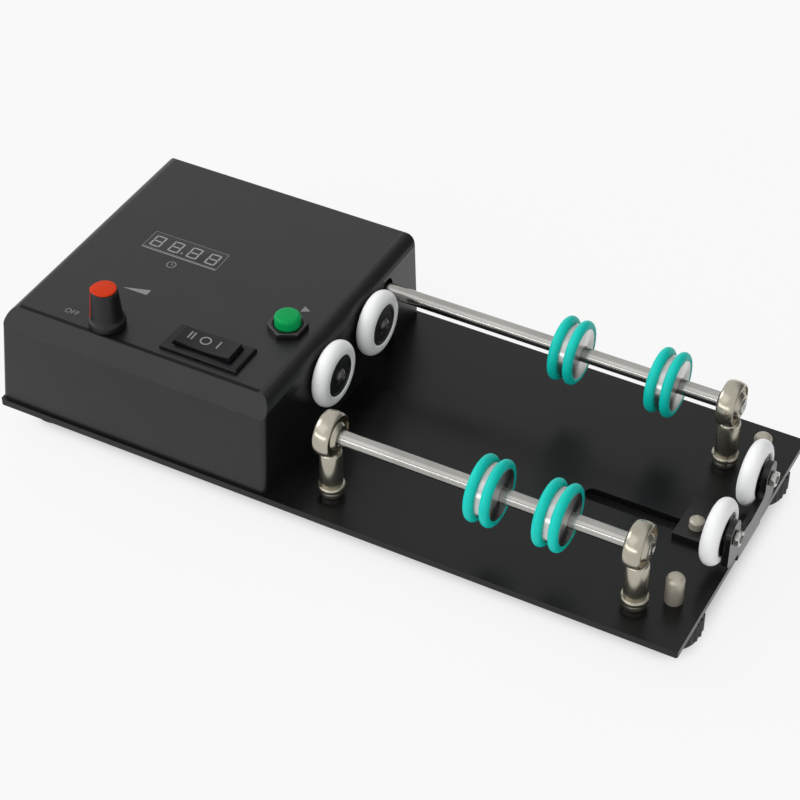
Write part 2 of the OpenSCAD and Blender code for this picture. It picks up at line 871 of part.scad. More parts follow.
module push_button_body() {
    well_r = button_d / 2 + free_gap;
    well_low = button_nut_h - button_sit - button_travel - free_gap;
    low_z = -wall_t - button_flange_t - button_low_h;
    color([0.13, 0.13, 0.13])
        placed()
            translate([button_x, button_y, panel_z])
                difference() {
                    union() {
                        translate([0, 0, -wall_t])
                            cylinder(r = button_barrel_r, h = wall_t + button_nut_h);
                        translate([0, 0, -wall_t - button_flange_t])
                            cylinder(r = button_flange_r, h = button_flange_t);
                        translate([0, 0, low_z])
                            cylinder(r = button_low_r, h = button_low_h + button_lap);
                    }
                    translate([0, 0, well_low])
                        cylinder(r = well_r, h = button_nut_h - well_low + 1);
                    translate([0, 0, low_z + button_floor])
                        cylinder(r = button_stem_r + run_fit, h = -low_z);
                }
}

module start_button() {
    cap_r = button_d / 2;
    cap_low = button_nut_h - button_sit;
    cap_h = button_top - cap_low;
    edge_h = cap_h - button_rise;
    color([0.06, 0.59, 0.31])
        placed()
            translate([button_x, button_y, panel_z]) {
                translate([0, 0, cap_low])
                    rotate_extrude()
                        polygon(concat(
                            [[0, 0], [cap_r, 0]],
                            corner_arc([cap_r, 0], [cap_r, edge_h], [0, cap_h], button_crown, 8),
                            [[0, cap_h]]
                        ));
                translate([0, 0, -wall_t - button_stem_len])
                    cylinder(r = button_stem_r, h = wall_t + button_stem_len + cap_low + button_lap);
            }
}

module potentiometer() {
    pot_len = pot_body_h + pot_shoulder + wall_t + pot_bush_top;
    color([0.45, 0.45, 0.43])
        placed()
            translate([knob_x, knob_y, ceiling_z])
                difference() {
                    union() {
                        translate([0, 0, -pot_shoulder])
                            cylinder(r = pot_shoulder_r, h = pot_shoulder);
                        translate([0, 0, -pot_shoulder])
                            cylinder(r = pot_bush_r, h = pot_shoulder + wall_t + pot_bush_top);
                        translate([0, 0, -pot_shoulder - pot_body_h])
                            cylinder(r = pot_body_r, h = pot_body_h);
                    }
                    translate([0, 0, pot_floor - pot_shoulder - pot_body_h])
                        cylinder(r = shaft_r + run_fit, h = pot_len);
                }
}

module potentiometer_shaft() {
    start = ceiling_z - pot_shoulder - pot_body_h + pot_floor + blind_gap;
    color([0.75, 0.75, 0.73])
        placed()
            translate([knob_x, knob_y, start])
                cylinder(r = shaft_r, h = panel_z + pot_shaft_out - start);
}

// Red tongue that runs from the knob's cap down its side
module knob_pointer(gap) {
    body_top = knob_h - knob_cap_t;
    rotate([0, 0, pointer_turn])
        translate([0, pointer_w / 2 + gap, 0])
            rotate([90, 0, 0])
                linear_extrude(pointer_w + 2 * gap)
                    polygon([
                        [knob_body_r0 - pointer_sink - gap, knob_skirt_h - gap],
                        [knob_body_r0 + pointer_proud, knob_skirt_h - gap],
                        [knob_body_r1 + pointer_proud, knob_h - pointer_slant],
                        [knob_body_r1 + pointer_proud - pointer_slant, knob_h + gap],
                        [knob_cap_r - pointer_lap, knob_h + gap],
                        [knob_cap_r - pointer_lap, body_top - pointer_sink - gap],
                        [knob_body_r1 - pointer_sink - gap, body_top - pointer_sink - gap]
                    ]);
}

module speed_knob() {
    body_top = knob_h - knob_cap_t;
    skirt_r = knob_d / 2;
    edge = [skirt_r, skirt_edge_h];
    root = [knob_body_r0, knob_skirt_h];
    rim = [knob_body_r1, body_top];
    color([0.11, 0.11, 0.11])
        placed()
            translate([knob_x, knob_y, panel_z + knob_gap])
                difference() {
                    rotate_extrude()
                        polygon(concat(
                            [[0, 0], [skirt_r, 0]],
                            corner_arc([skirt_r, 0], edge, root, skirt_round, 6),
                            corner_arc(edge, root, rim, root_round, 6),
                            corner_arc(root, rim, [0, body_top], knob_top_round, 4),
                            [[0, body_top]]
                        ));
                    translate([0, 0, -1])
                        cylinder(r = pot_nut_across / 2 / cos(30) + free_gap, h = 1 + pot_nut_h);
                    translate([0, 0, -1])
                        cylinder(r = pot_bush_r + free_gap, h = 1 + pot_bush_top + free_gap);
                    translate([0, 0, -1])
                        cylinder(r = shaft_r + seat_fit, h = 1 + knob_bore_h);
                    knob_pointer(seat_fit);
                }
}

module speed_knob_cap() {
    color([0.79, 0.2, 0.1])
        placed()
            translate([knob_x, knob_y, panel_z + knob_gap]) {
                translate([0, 0, knob_h - knob_cap_t])
                    cylinder(r = knob_cap_r, h = knob_cap_t);
                knob_pointer(0);
            }
}

module panel_nuts() {
    nut_top_r = button_nut_across / 2 + button_nut_edge;
    color(nickel)
        placed() {
            translate([knob_x, knob_y, panel_z])
                hex_nut(pot_nut_across, pot_bush_r + seat_fit, pot_nut_h);
            translate([button_x, button_y, panel_z])
                rotate([0, 0, button_turn])
                    intersection() {
                        hex_nut(button_nut_across, button_barrel_r + seat_fit, button_nut_h);
                        cylinder(r1 = button_nut_across, r2 = nut_top_r, h = button_nut_h);
                    }
            translate([inlet_x, inlet_pad_in, inlet_z])
                rotate([90, 0, 0])
                    hex_nut(inlet_nut_across, inlet_r + seat_fit, inlet_nut_h);
        }
}

module dc_inlet() {
    color([0.09, 0.09, 0.09])
        placed()
            translate([inlet_x, inlet_pad_y, inlet_z])
                rotate([90, 0, 0])
                    difference() {
                        union() {
                            translate([0, 0, -inlet_flange_t])
                                cylinder(r = inlet_flange_r, h = inlet_flange_t);
                            cylinder(r = inlet_r, h = inlet_len);
                        }
                        difference() {
                            translate([0, 0, -inlet_flange_t - 1])
                                cylinder(r = plug_r, h = plug_depth + 1);
                            cylinder(r = inlet_pin_r, h = plug_depth + 1);
                        }
                    }
}

module gear_motor() {
    color([0.6, 0.6, 0.58])
        placed()
            facing_right(motor_face_x, drive_line_y, shaft_h)
                difference() {
                    union() {
                        translate([0, 0, -gearbox_len])
                            cylinder(r = motor_r, h = gearbox_len);
                        translate([0, 0, -motor_len])
                            cylinder(r = motor_r - motor_step, h = motor_len);
                        translate([0, 0, -motor_len - motor_boss_h])
                            cylinder(r = motor_boss_r, h = 2 * motor_boss_h);
                    }
                    translate([0, 0, motor_shaft_sit - gearbox_len])
                        cylinder(r = motor_shaft_r + run_fit, h = gearbox_len);
                    for (y = [-motor_screw_pitch / 2, motor_screw_pitch / 2])
                        translate([0, y, -motor_hole_h])
                            cylinder(r = motor_screw_r + seat_fit, h = motor_hole_h + 1);
                }
}

module motor_bracket() {
    plate_h = shaft_h + motor_r;
    color([0.55, 0.55, 0.55])
        placed()
            difference() {
                union() {
                    translate([motor_face_x, drive_line_y - motor_foot_w / 2, 0])
                        cube([motor_plate_t, motor_foot_w, plate_h]);
                    translate([motor_face_x - motor_foot_len, drive_line_y - motor_foot_w / 2, 0])
                        cube([motor_foot_len + motor_plate_t, motor_foot_w, motor_plate_t]);
                }
                facing_right(motor_face_x - 1, drive_line_y, shaft_h)
                    cylinder(r = motor_shaft_r + motor_bore_gap, h = motor_plate_t + 2);
                for (y = [-motor_screw_pitch / 2, motor_screw_pitch / 2])
                    facing_right(motor_face_x - 1, drive_line_y + y, shaft_h)
                        cylinder(r = motor_screw_r + run_fit, h = motor_plate_t + 2);
                for (s = motor_screw_spots)
                    translate([s[0], s[1], -1])
                        cylinder(r = small_screw_r + seat_fit, h = motor_plate_t + 2);
            }
}

module motor_screws() {
    face_len = motor_plate_t + motor_screw_bite;
    foot_len = plate_t + motor_plate_t + screw_out;
    color(bright_steel)
        placed() {
            for (y = [-motor_screw_pitch / 2, motor_screw_pitch / 2])
                translate([motor_face_x + motor_plate_t, drive_line_y + y, shaft_h])
                    rotate([0, -90, 0])
                        button_screw(motor_screw_r, motor_head_r, motor_head_h, face_len);
            for (s = motor_screw_spots)
                translate([s[0], s[1], -plate_t])
                    button_screw(small_screw_r, small_head_r, small_head_h, foot_len);
        }
}

module motor_output_shaft() {
    start = motor_face_x - gearbox_len + motor_shaft_sit + blind_gap;
    stop = drive_x0 - coupling_gap;
    color(bright_steel)
        placed()
            facing_right(start, drive_line_y, shaft_h)
                cylinder(r = motor_shaft_r, h = stop - start);
}

module shaft_coupling() {
    color([0.75, 0.75, 0.73])
        placed()
            facing_right(coupling_x0, drive_line_y, shaft_h)
                difference() {
                    cylinder(r = coupling_r, h = coupling_len);
                    translate([0, 0, -1])
                        cylinder(r = motor_shaft_r, h = coupling_len);
                    translate([0, 0, (coupling_len - coupling_gap) / 2])
                        cylinder(r = shaft_r, h = coupling_len);
                }
}

module board_standoffs() {
    color([0.7, 0.62, 0.4])
        placed()
            for (x = [board_x0 + board_hole_in, board_x0 + board_len - board_hole_in])
                for (y = [board_y0 + board_hole_in, board_y0 + board_w - board_hole_in])
                    translate([x, y, 0]) {
                        cylinder(r = standoff_r, h = board_z);
                        cylinder(r = board_screw_r, h = board_z + board_t + standoff_tip);
                    }
}

module control_board() {
    color([0.1, 0.35, 0.2])
        placed()
            difference() {
                translate([board_x0, board_y0, board_z]) {
                    cube([board_len, board_w, board_t]);
                    translate([relay_spot[0], relay_spot[1], board_t - board_lap])
                        cube([relay_size[0], relay_size[1], relay_size[2] + board_lap]);
                    translate([chip_spot[0], chip_spot[1], board_t - board_lap])
                        cube([chip_size[0], chip_size[1], chip_size[2] + board_lap]);
                    translate([can_spot[0], can_spot[1], board_t - board_lap])
                        cylinder(r = can_r, h = can_h + board_lap);
                }
                for (x = [board_x0 + board_hole_in, board_x0 + board_len - board_hole_in])
                    for (y = [board_y0 + board_hole_in, board_y0 + board_w - board_hole_in])
                        translate([x, y, board_z - 1])
                            cylinder(r = board_screw_r + seat_fit, h = board_t + 2);
            }
}

// Tyre of a guide wheel, full round outside, seated on the bearing
module wheel_tyre(x, y, z, d) {
    round_r = tyre_w / 2;
    color(white_nylon)
        placed()
            facing_right(x, y, z)
                difference() {
                    union() {
                        cylinder(r = d / 2 - round_r, h = tyre_w, center = true);
                        rotate_extrude()
                            translate([d / 2 - round_r, 0])
                                circle(r = round_r);
                    }
                    cylinder(r = bearing_d / 2, h = tyre_w + 2, center = true);
                }
}

// Shielded ball bearing of a guide wheel
module wheel_bearing(x, y, z) {
    outer_r = bearing_d / 2;
    half = bearing_w / 2;
    shield = half - shield_dip;
    inner_r = axle_r + inner_ring_t;
    ring_in = outer_r - outer_ring_t;
    color([0.16, 0.16, 0.16])
        placed()
            facing_right(x, y, z)
                rotate_extrude()
                    polygon([
                        [axle_r + run_fit, -half],
                        [inner_r, -half],
                        [inner_r, -shield],
                        [ring_in, -shield],
                        [ring_in, -half],
                        [outer_r, -half],
                        [outer_r, half],
                        [ring_in, half],
                        [ring_in, shield],
                        [inner_r, shield],
                        [inner_r, half],
                        [axle_r + run_fit, half]
                    ]);
}

module housing_wheel_tyre_front() {
    wheel_tyre(housing_wheel_x, housing_wheel_front_y, housing_wheel_z, housing_wheel_d);
}

module housing_wheel_bearing_front() {
    wheel_bearing(housing_wheel_x, housing_wheel_front_y, housing_wheel_z);
}

module housing_wheel_tyre_rear() {
    wheel_tyre(housing_wheel_x, housing_wheel_rear_y, housing_wheel_z, housing_wheel_d);
}

module housing_wheel_bearing_rear() {
    wheel_bearing(housing_wheel_x, housing_wheel_rear_y, housing_wheel_z);
}

module bracket_wheel_tyre_front() {
    wheel_tyre(bracket_wheel_x, bracket_y - bracket_wheel_pitch / 2, bracket_wheel_z, bracket_wheel_d);
}

module bracket_wheel_bearing_front() {
    wheel_bearing(bracket_wheel_x, bracket_y - bracket_wheel_pitch / 2, bracket_wheel_z);
}

module bracket_wheel_tyre_rear() {
    wheel_tyre(bracket_wheel_x, bracket_y + bracket_wheel_pitch / 2, bracket_wheel_z, bracket_wheel_d);
}

module bracket_wheel_bearing_rear() {
    wheel_bearing(bracket_wheel_x, bracket_y + bracket_wheel_pitch / 2, bracket_wheel_z);
}

module housing_wheel_screws() {
    face_x = housing_wheel_x + bearing_w / 2;
    shank_len = face_x - housing_boss_in + nut_h + screw_out;
    color(bright_steel)
        placed()
            for (y = housing_wheel_ys)
                translate([face_x, y, housing_wheel_z])
                    rotate([0, -90, 0])
                        button_screw(axle_r, axle_head_r, axle_head_h, shank_len);
}

module housing_wheel_nuts() {
    color(bright_steel)
        placed()
            for (y = housing_wheel_ys)
                facing_right(housing_boss_in - nut_h, y, housing_wheel_z)
                    hex_nut(nut_across, axle_r, nut_h);
}

module housing_wheel_spacers() {
    color(bright_steel)
        placed()
            for (y = housing_wheel_ys)
                facing_right(housing_boss_x, y, housing_wheel_z)
                    tube(axle_r + spacer_t, axle_r, housing_wheel_x - bearing_w / 2 - housing_boss_x);
}

module fixed_feet() {
    color(black_plastic)
        placed()
            for (s = left_foot_spots)
                translate([s[0], s[1], -plate_t - foot_h])
                    ribbed_foot(foot_h);
}

// Ribbed foot with a plain sole
module ribbed_foot(h) {
    sole_h = 2;
    translate([0, 0, sole_h])
        linear_extrude(h - sole_h)
            polygon(ribbed(foot_d / 2, 0.9, 24));
    cylinder(r = foot_d / 2 - 1.2, h = sole_h);
}

module levelling_foot(spot) {
    h = foot_h - foot_gap;
    color(black_plastic)
        placed()
            translate([spot[0], spot[1], -plate_t - foot_h])
                difference() {
                    ribbed_foot(h);
                    translate([0, 0, h - foot_bore_h])
                        cylinder(r = stud_r, h = foot_bore_h + 1);
                }
}

module levelling_stud(spot) {
    start = -plate_t - foot_gap - foot_bore_h;
    color(nickel)
        placed()
            translate([spot[0], spot[1], start])
                domed_pin(stud_r, stud_tip_h - start);
}

module levelling_foot_front() {
    levelling_foot(right_foot_spots[0]);
}

module levelling_stud_front() {
    levelling_stud(right_foot_spots[0]);
}

module levelling_foot_rear() {
    levelling_foot(right_foot_spots[1]);
}

module levelling_stud_rear() {
    levelling_stud(right_foot_spots[1]);
}

// Roller core with a seat for two rubber rings
module roller(x, y) {
    seat_r = ring_d / 2 - ring_t / 2;
    lip = 0.5;
    rim_in = ring_pitch / 2 - ring_t / 2;
    color([0.8, 0.8, 0.79])
        placed()
            facing_right(x, y, shaft_h)
                difference() {
                    rotate_extrude()
                        polygon([
                            [shaft_r, -roller_w / 2],
                            [roller_d / 2 - lip, -roller_w / 2],
                            [roller_d / 2, -roller_w / 2 + lip],
                            [roller_d / 2, -rim_in],
                            [waist_d / 2, -rim_in + 0.4],
                            [waist_d / 2, rim_in - 0.4],
                            [roller_d / 2, rim_in],
                            [roller_d / 2, roller_w / 2 - lip],
                            [roller_d / 2 - lip, roller_w / 2],
                            [shaft_r, roller_w / 2]
                        ]);
                    for (z = [-ring_pitch / 2, ring_pitch / 2])
                        translate([0, 0, z])
                            rotate_extrude()
                                translate([seat_r, 0])
                                    circle(r = ring_t / 2 + seat_fit);
                }
}

module roller_rings(xs, y) {
    color(ring_rubber)
        placed()
            for (x = xs)
                for (z = [-ring_pitch / 2, ring_pitch / 2])
                    facing_right(x + z, y, shaft_h)
                        rotate_extrude()
                            translate([ring_d / 2 - ring_t / 2, 0])
                                circle(r = ring_t / 2);
}

module drive_roller_inner() {
    roller(rod_right_x - drive_inner_x, drive_line_y);
}

module drive_roller_outer() {
    roller(rod_right_x - drive_outer_x, drive_line_y);
}

module drive_rings() {
    roller_rings([rod_right_x - drive_inner_x, rod_right_x - drive_outer_x], drive_line_y);
}

module idler_roller_inner() {
    roller(rod_right_x - idler_inner_x, idler_y);
}

module idler_roller_outer() {
    roller(rod_right_x - idler_outer_x, idler_y);
}

module idler_rings() {
    roller_rings([rod_right_x - idler_inner_x, rod_right_x - idler_outer_x], idler_y);
}

// Ground shaft with a small bevel at each end
module ground_shaft(x0, x1, y) {
    bevel = 0.4;
    color(bright_steel)
        placed()
            facing_right(x0, y, shaft_h)
                rotate_extrude()
                    polygon([
                        [0, 0],
                        [shaft_r - bevel, 0],
                        [shaft_r, bevel],
                        [shaft_r, x1 - x0 - bevel],
                        [shaft_r - bevel, x1 - x0],
                        [0, x1 - x0]
                    ]);
}

module drive_shaft() {
    ground_shaft(drive_x0, drive_x1, drive_line_y);
}

module idler_shaft() {
    ground_shaft(idler_x0, drive_x1, idler_y);
}

module end_bracket() {
    half = bracket_foot_w / 2;
    ear_y = bracket_wheel_pitch / 2;
    ear_in = ear_y - ear_r;
    ear_out = ear_y + ear_r;
    ear_top = bracket_wheel_z + ear_rise;
    full_round = ear_r * 0.999;
    root_r = 0.8;
    wing_r = 2.5;
    web_r = 3;
    dip_r = 6;
    half_r = [0, root_r, wing_r, full_round, full_round, web_r];
    outline_r = concat([0], half_r, [dip_r], [for (i = [5:-1:1]) half_r[i]]);
    wing_fall = 2.2;
    root_z = wing_z - wing_fall;
    lap = 1.5;
    edge_r = 0.6;
    foot_x0 = bracket_x1 - bracket_foot_len;
    color([0.3, 0.3, 0.3])
        placed()
            difference() {
                union() {
                    translate([bracket_x0, bracket_y, 0])
                        rotate([90, 0, 90])
                            linear_extrude(bracket_t)
                                polygon(rounded([
                                    [-half, root_z - lap],
                                    [half, root_z - lap],
                                    [half, root_z],
                                    [ear_out, wing_z],
                                    [ear_out, ear_top],
                                    [ear_in, ear_top],
                                    [ear_in, web_z],
                                    [0, web_z - 1.5],
                                    [-ear_in, web_z],
                                    [-ear_in, ear_top],
                                    [-ear_out, ear_top],
                                    [-ear_out, wing_z],
                                    [-half, root_z]
                                ], outline_r, 10));
                    translate([0, bracket_y + half, slide_gap])
                        rotate([90, 0, 0])
                            linear_extrude(bracket_foot_w)
                                polygon(rounded([
                                    [foot_x0, 0],
                                    [bracket_x1, 0],
                                    [bracket_x1, wing_z - 0.2],
                                    [bracket_x0, wing_z - 0.2],
                                    [bracket_x0, bracket_t],
                                    [foot_x0, bracket_t]
                                ], [0, edge_r, 0, 0, bend_r, 0]));
                }
                for (y = [-ear_y, ear_y])
                    facing_right(bracket_x0 - 1, bracket_y + y, bracket_wheel_z)
                        cylinder(r = axle_r + seat_fit, h = bracket_t + 2);
                translate([clamp_x, slot_line_y, -1])
                    cylinder(r = clamp_r + run_fit, h = bracket_t + 3);
            }
}

module bracket_wheel_screws() {
    face_x = bracket_wheel_x - bearing_w / 2;
    color(bright_steel)
        placed()
            for (y = [-bracket_wheel_pitch / 2, bracket_wheel_pitch / 2])
                facing_right(face_x, bracket_y + y, bracket_wheel_z)
                    button_screw(axle_r, axle_head_r, axle_head_h, overall_len - face_x);
}

module bracket_wheel_nuts() {
    color(bright_steel)
        placed()
            for (y = [-bracket_wheel_pitch / 2, bracket_wheel_pitch / 2])
                facing_right(bracket_x1, bracket_y + y, bracket_wheel_z)
                    hex_nut(nut_across, axle_r, nut_h);
}

module bracket_wheel_spacers() {
    color(bright_steel)
        placed()
            for (y = [-bracket_wheel_pitch / 2, bracket_wheel_pitch / 2])
                facing_right(bracket_wheel_x + bearing_w / 2, bracket_y + y, bracket_wheel_z)
                    tube(axle_r + spacer_t, axle_r, bracket_x0 - bracket_wheel_x - bearing_w / 2);
}

module clamp_screw() {
    head_top = -plate_t - slide_gap;
    color(nickel)
        placed()
            translate([clamp_x, slot_line_y, head_top - clamp_head_h]) {
                linear_extrude(clamp_head_h)
                    polygon(ribbed(clamp_head_d / 2, 0.7, 30));
                domed_pin(clamp_r, clamp_tip_h - head_top + clamp_head_h);
            }
}

base_plate();
control_housing();
housing_screws();
rod_end_front_left();
rod_end_front_right();
rod_end_rear_right();
rod_end_liners();
rod_end_bolts();
time_display();
rocker_frame();
push_button_body();
potentiometer();
dc_inlet();
panel_nuts();
gear_motor();
motor_bracket();
motor_screws();
control_board();
board_standoffs();
housing_wheel_screws();
housing_wheel_nuts();
housing_wheel_spacers();
fixed_feet();
drive_shaft();
motor_output_shaft();
shaft_coupling();
drive_roller_inner();
drive_roller_outer();
drive_rings();
rod_end_ball_rear_right();
idler_shaft();
idler_roller_inner();
idler_roller_outer();
idler_rings();
rod_end_ball_front_left();
rod_end_ball_front_right();
housing_wheel_tyre_front();
housing_wheel_bearing_front();
housing_wheel_tyre_rear();
housing_wheel_bearing_rear();
bracket_wheel_tyre_front();
bracket_wheel_bearing_front();
bracket_wheel_tyre_rear();
bracket_wheel_bearing_rear();
end_bracket();
bracket_wheel_screws();
bracket_wheel_nuts();
bracket_wheel_spacers();
clamp_screw();
speed_knob();
speed_knob_cap();
potentiometer_shaft();
rocker_paddle();
start_button();
levelling_foot_front();
levelling_stud_front();
levelling_foot_rear();
levelling_stud_rear();
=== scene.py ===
import json
import math

import bmesh
import bpy
from mathutils import Matrix, Vector

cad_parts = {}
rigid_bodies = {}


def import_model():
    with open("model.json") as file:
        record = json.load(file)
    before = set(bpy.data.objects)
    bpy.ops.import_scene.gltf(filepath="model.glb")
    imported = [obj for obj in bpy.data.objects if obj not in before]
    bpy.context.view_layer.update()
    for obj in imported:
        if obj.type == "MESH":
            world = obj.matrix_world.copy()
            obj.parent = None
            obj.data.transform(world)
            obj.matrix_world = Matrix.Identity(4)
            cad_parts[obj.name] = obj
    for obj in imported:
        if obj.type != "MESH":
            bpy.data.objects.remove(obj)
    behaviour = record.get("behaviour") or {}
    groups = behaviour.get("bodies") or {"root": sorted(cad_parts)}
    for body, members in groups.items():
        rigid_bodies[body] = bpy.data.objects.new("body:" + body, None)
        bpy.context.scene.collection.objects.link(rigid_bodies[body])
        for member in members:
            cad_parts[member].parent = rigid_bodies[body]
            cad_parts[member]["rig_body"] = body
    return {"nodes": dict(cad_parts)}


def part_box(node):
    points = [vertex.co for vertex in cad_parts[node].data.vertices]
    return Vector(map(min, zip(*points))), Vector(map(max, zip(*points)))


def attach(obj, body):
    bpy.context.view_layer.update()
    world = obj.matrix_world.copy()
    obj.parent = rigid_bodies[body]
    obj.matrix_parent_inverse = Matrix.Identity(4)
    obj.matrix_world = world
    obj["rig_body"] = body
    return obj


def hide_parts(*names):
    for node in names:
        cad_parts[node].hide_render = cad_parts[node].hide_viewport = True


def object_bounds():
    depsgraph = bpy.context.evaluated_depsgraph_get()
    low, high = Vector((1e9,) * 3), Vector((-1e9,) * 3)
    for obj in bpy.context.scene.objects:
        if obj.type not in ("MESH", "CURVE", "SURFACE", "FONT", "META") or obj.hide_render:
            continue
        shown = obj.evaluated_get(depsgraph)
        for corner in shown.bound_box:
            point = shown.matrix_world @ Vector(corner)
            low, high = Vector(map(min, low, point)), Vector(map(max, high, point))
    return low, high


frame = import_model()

cad_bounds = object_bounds()

# Lengths are millimetres, which MM makes metres. Where metres are meant, a comment says so.
MM = 0.001
MERGE = 1e-7  # metres
ALONG = Vector((1, 0, 0))
UP = Vector((0, 0, 1))
SMOOTH_ANGLE = 38  # degrees under which neighbouring faces shade as one

SHAFT_R = 3.0
SHAFT_Z = 45
DRIVE_Y = 36.7
IDLER_Y = -49
AXLE_R = 1.5
BEARING_R = 8.5
LINER_R = 7.75
PANEL_Z = 55.5
PRINT_LIFT = 0.04


# ---------------------------------------------------------------- finishes

PATTERN_LOW, PATTERN_HIGH = 0.3, 0.7  # the span of a noise pattern that colour and gloss use


def add_node(tree, kind, values=(), operation=None):
    """A shader node, with the sum it does and starting values on its sockets."""
    node = tree.nodes.new("ShaderNode" + kind)
    if operation:
        node.operation = operation
    for socket, value in dict(values).items():
        node.inputs[socket].default_value = value
    return node


def skin_of(finish):
    return finish.node_tree.nodes["Principled BSDF"]


def new_finish(name, colour, roughness, metal=0.0, specular=0.5):
    finish = bpy.data.materials.new(name)
    finish.use_nodes = True
    skin = skin_of(finish)
    skin.inputs["Base Color"].default_value = (*colour, 1)
    skin.inputs["Roughness"].default_value = roughness
    skin.inputs["Metallic"].default_value = metal
    skin.inputs["Specular IOR Level"].default_value = specular
    return finish


def noise(finish, scale, stretch=(1, 1, 1), **settings):
    """Noise on the piece's own place, stretched along the axes."""
    tree = finish.node_tree
    place = add_node(tree, "TexCoord")
    mapping = add_node(tree, "Mapping", {"Scale": stretch})
    pattern = add_node(tree, "TexNoise", {"Scale": scale, **settings})
    tree.links.new(place.outputs["Object"], mapping.inputs["Vector"])
    tree.links.new(mapping.outputs["Vector"], pattern.inputs["Vector"])
    return pattern.outputs[0]


def lathe_rings(finish, scale, axis_y, axis_z):
    """Fine rings round an axis that runs along x, as a lathe tool leaves them."""
    tree = finish.node_tree
    place = add_node(tree, "TexCoord")
    to_axis = add_node(tree, "Mapping", {"Location": (0, -axis_y * MM, -axis_z * MM)})
    flat = add_node(tree, "VectorMath", {1: (0, 1, 1)}, "MULTIPLY")
    reach = add_node(tree, "VectorMath", operation="LENGTH")
    split = add_node(tree, "SeparateXYZ")
    total = add_node(tree, "Math", operation="ADD")
    rings = add_node(tree, "TexNoise", {"Scale": scale, "Detail": 3})
    rings.noise_dimensions = "1D"
    tree.links.new(place.outputs["Object"], to_axis.inputs["Vector"])
    tree.links.new(to_axis.outputs["Vector"], flat.inputs[0])
    tree.links.new(to_axis.outputs["Vector"], split.inputs[0])
    tree.links.new(flat.outputs["Vector"], reach.inputs[0])
    tree.links.new(reach.outputs["Value"], total.inputs[0])
    tree.links.new(split.outputs["X"], total.inputs[1])
    tree.links.new(total.outputs["Value"], rings.inputs["W"])
    return rings.outputs[0]


def tint(finish, pattern, dark, light):
    tree = finish.node_tree
    ramp = add_node(tree, "ValToRGB")
    start, end = ramp.color_ramp.elements
    start.position, end.position = PATTERN_LOW, PATTERN_HIGH
    start.color, end.color = (*dark, 1), (*light, 1)
    tree.links.new(pattern, ramp.inputs["Fac"])
    tree.links.new(ramp.outputs["Color"], skin_of(finish).inputs["Base Color"])


def gloss(finish, pattern, smooth, rough):
    tree = finish.node_tree
    spread = add_node(tree, "MapRange", {"From Min": PATTERN_LOW, "From Max": PATTERN_HIGH,
                                         "To Min": smooth, "To Max": rough})
    tree.links.new(pattern, spread.inputs["Value"])
    tree.links.new(spread.outputs["Result"], skin_of(finish).inputs["Roughness"])


def grain(finish, pattern, depth, strength):
    tree = finish.node_tree
    bump = add_node(tree, "Bump", {"Strength": strength, "Distance": depth * MM})
    tree.links.new(pattern, bump.inputs["Height"])
    tree.links.new(bump.outputs["Normal"], skin_of(finish).inputs["Normal"])


def painted_sheet(name, dark, light, smooth, rough, specular):
    """Sheet metal under paint with a faint peel."""
    finish = new_finish(name, dark, rough, specular=specular)
    cloud = noise(finish, scale=26, Detail=4)
    peel = noise(finish, scale=1300, Detail=2)
    tint(finish, cloud, dark, light)
    gloss(finish, cloud, smooth, rough)
    grain(finish, peel, depth=0.012, strength=0.5)
    return finish


def moulded_plastic(name, dark, light, smooth, rough, specular=0.4, pebble=1500, depth=0.02):
    """Plastic, rubber or print with a pebbled skin."""
    finish = new_finish(name, dark, rough, specular=specular)
    cloud = noise(finish, scale=60, Detail=5)
    pebbles = noise(finish, scale=pebble, Detail=3, Roughness=0.6)
    tint(finish, cloud, dark, light)
    gloss(finish, pebbles, smooth, rough)
    grain(finish, pebbles, depth, strength=0.6)
    return finish


def plated_metal(name, dark, light, smooth, rough, metal=1.0):
    """Plated metal with fine pits; under 1 metal it is partly dull."""
    finish = new_finish(name, light, rough, metal)
    cloud = noise(finish, scale=90, Detail=3)
    pits = noise(finish, scale=1900, Detail=2)
    tint(finish, cloud, dark, light)
    gloss(finish, cloud, smooth, rough)
    grain(finish, pits, depth=0.002, strength=0.3)
    return finish


def ground_metal(name, dark, light, smooth, rough):
    """Steel ground between centres: fine hoops along the shaft."""
    finish = new_finish(name, light, rough, metal=1.0)
    hoops = noise(finish, scale=1, stretch=(2600, 60, 60), Detail=3)
    cloud = noise(finish, scale=70, Detail=3)
    tint(finish, cloud, dark, light)
    gloss(finish, hoops, smooth, rough)
    grain(finish, hoops, depth=0.002, strength=0.35)
    return finish


def turned_metal(name, dark, light, smooth, rough, axis_y, axis_z):
    """Metal cut on a lathe: its glints spread across the fine rings that the tool leaves."""
    finish = new_finish(name, light, rough, metal=1.0)
    rings = lathe_rings(finish, 900, axis_y, axis_z)
    cloud = noise(finish, scale=120, Detail=4)
    tint(finish, rings, dark, light)
    gloss(finish, cloud, smooth, rough)
    skin = skin_of(finish)
    skin.inputs["Anisotropic"].default_value = 0.85
    skin.inputs["Anisotropic Rotation"].default_value = 0.25
    round_axis = add_node(finish.node_tree, "Tangent")
    round_axis.direction_type = "RADIAL"
    round_axis.axis = "X"
    finish.node_tree.links.new(round_axis.outputs["Tangent"], skin.inputs["Tangent"])
    return finish


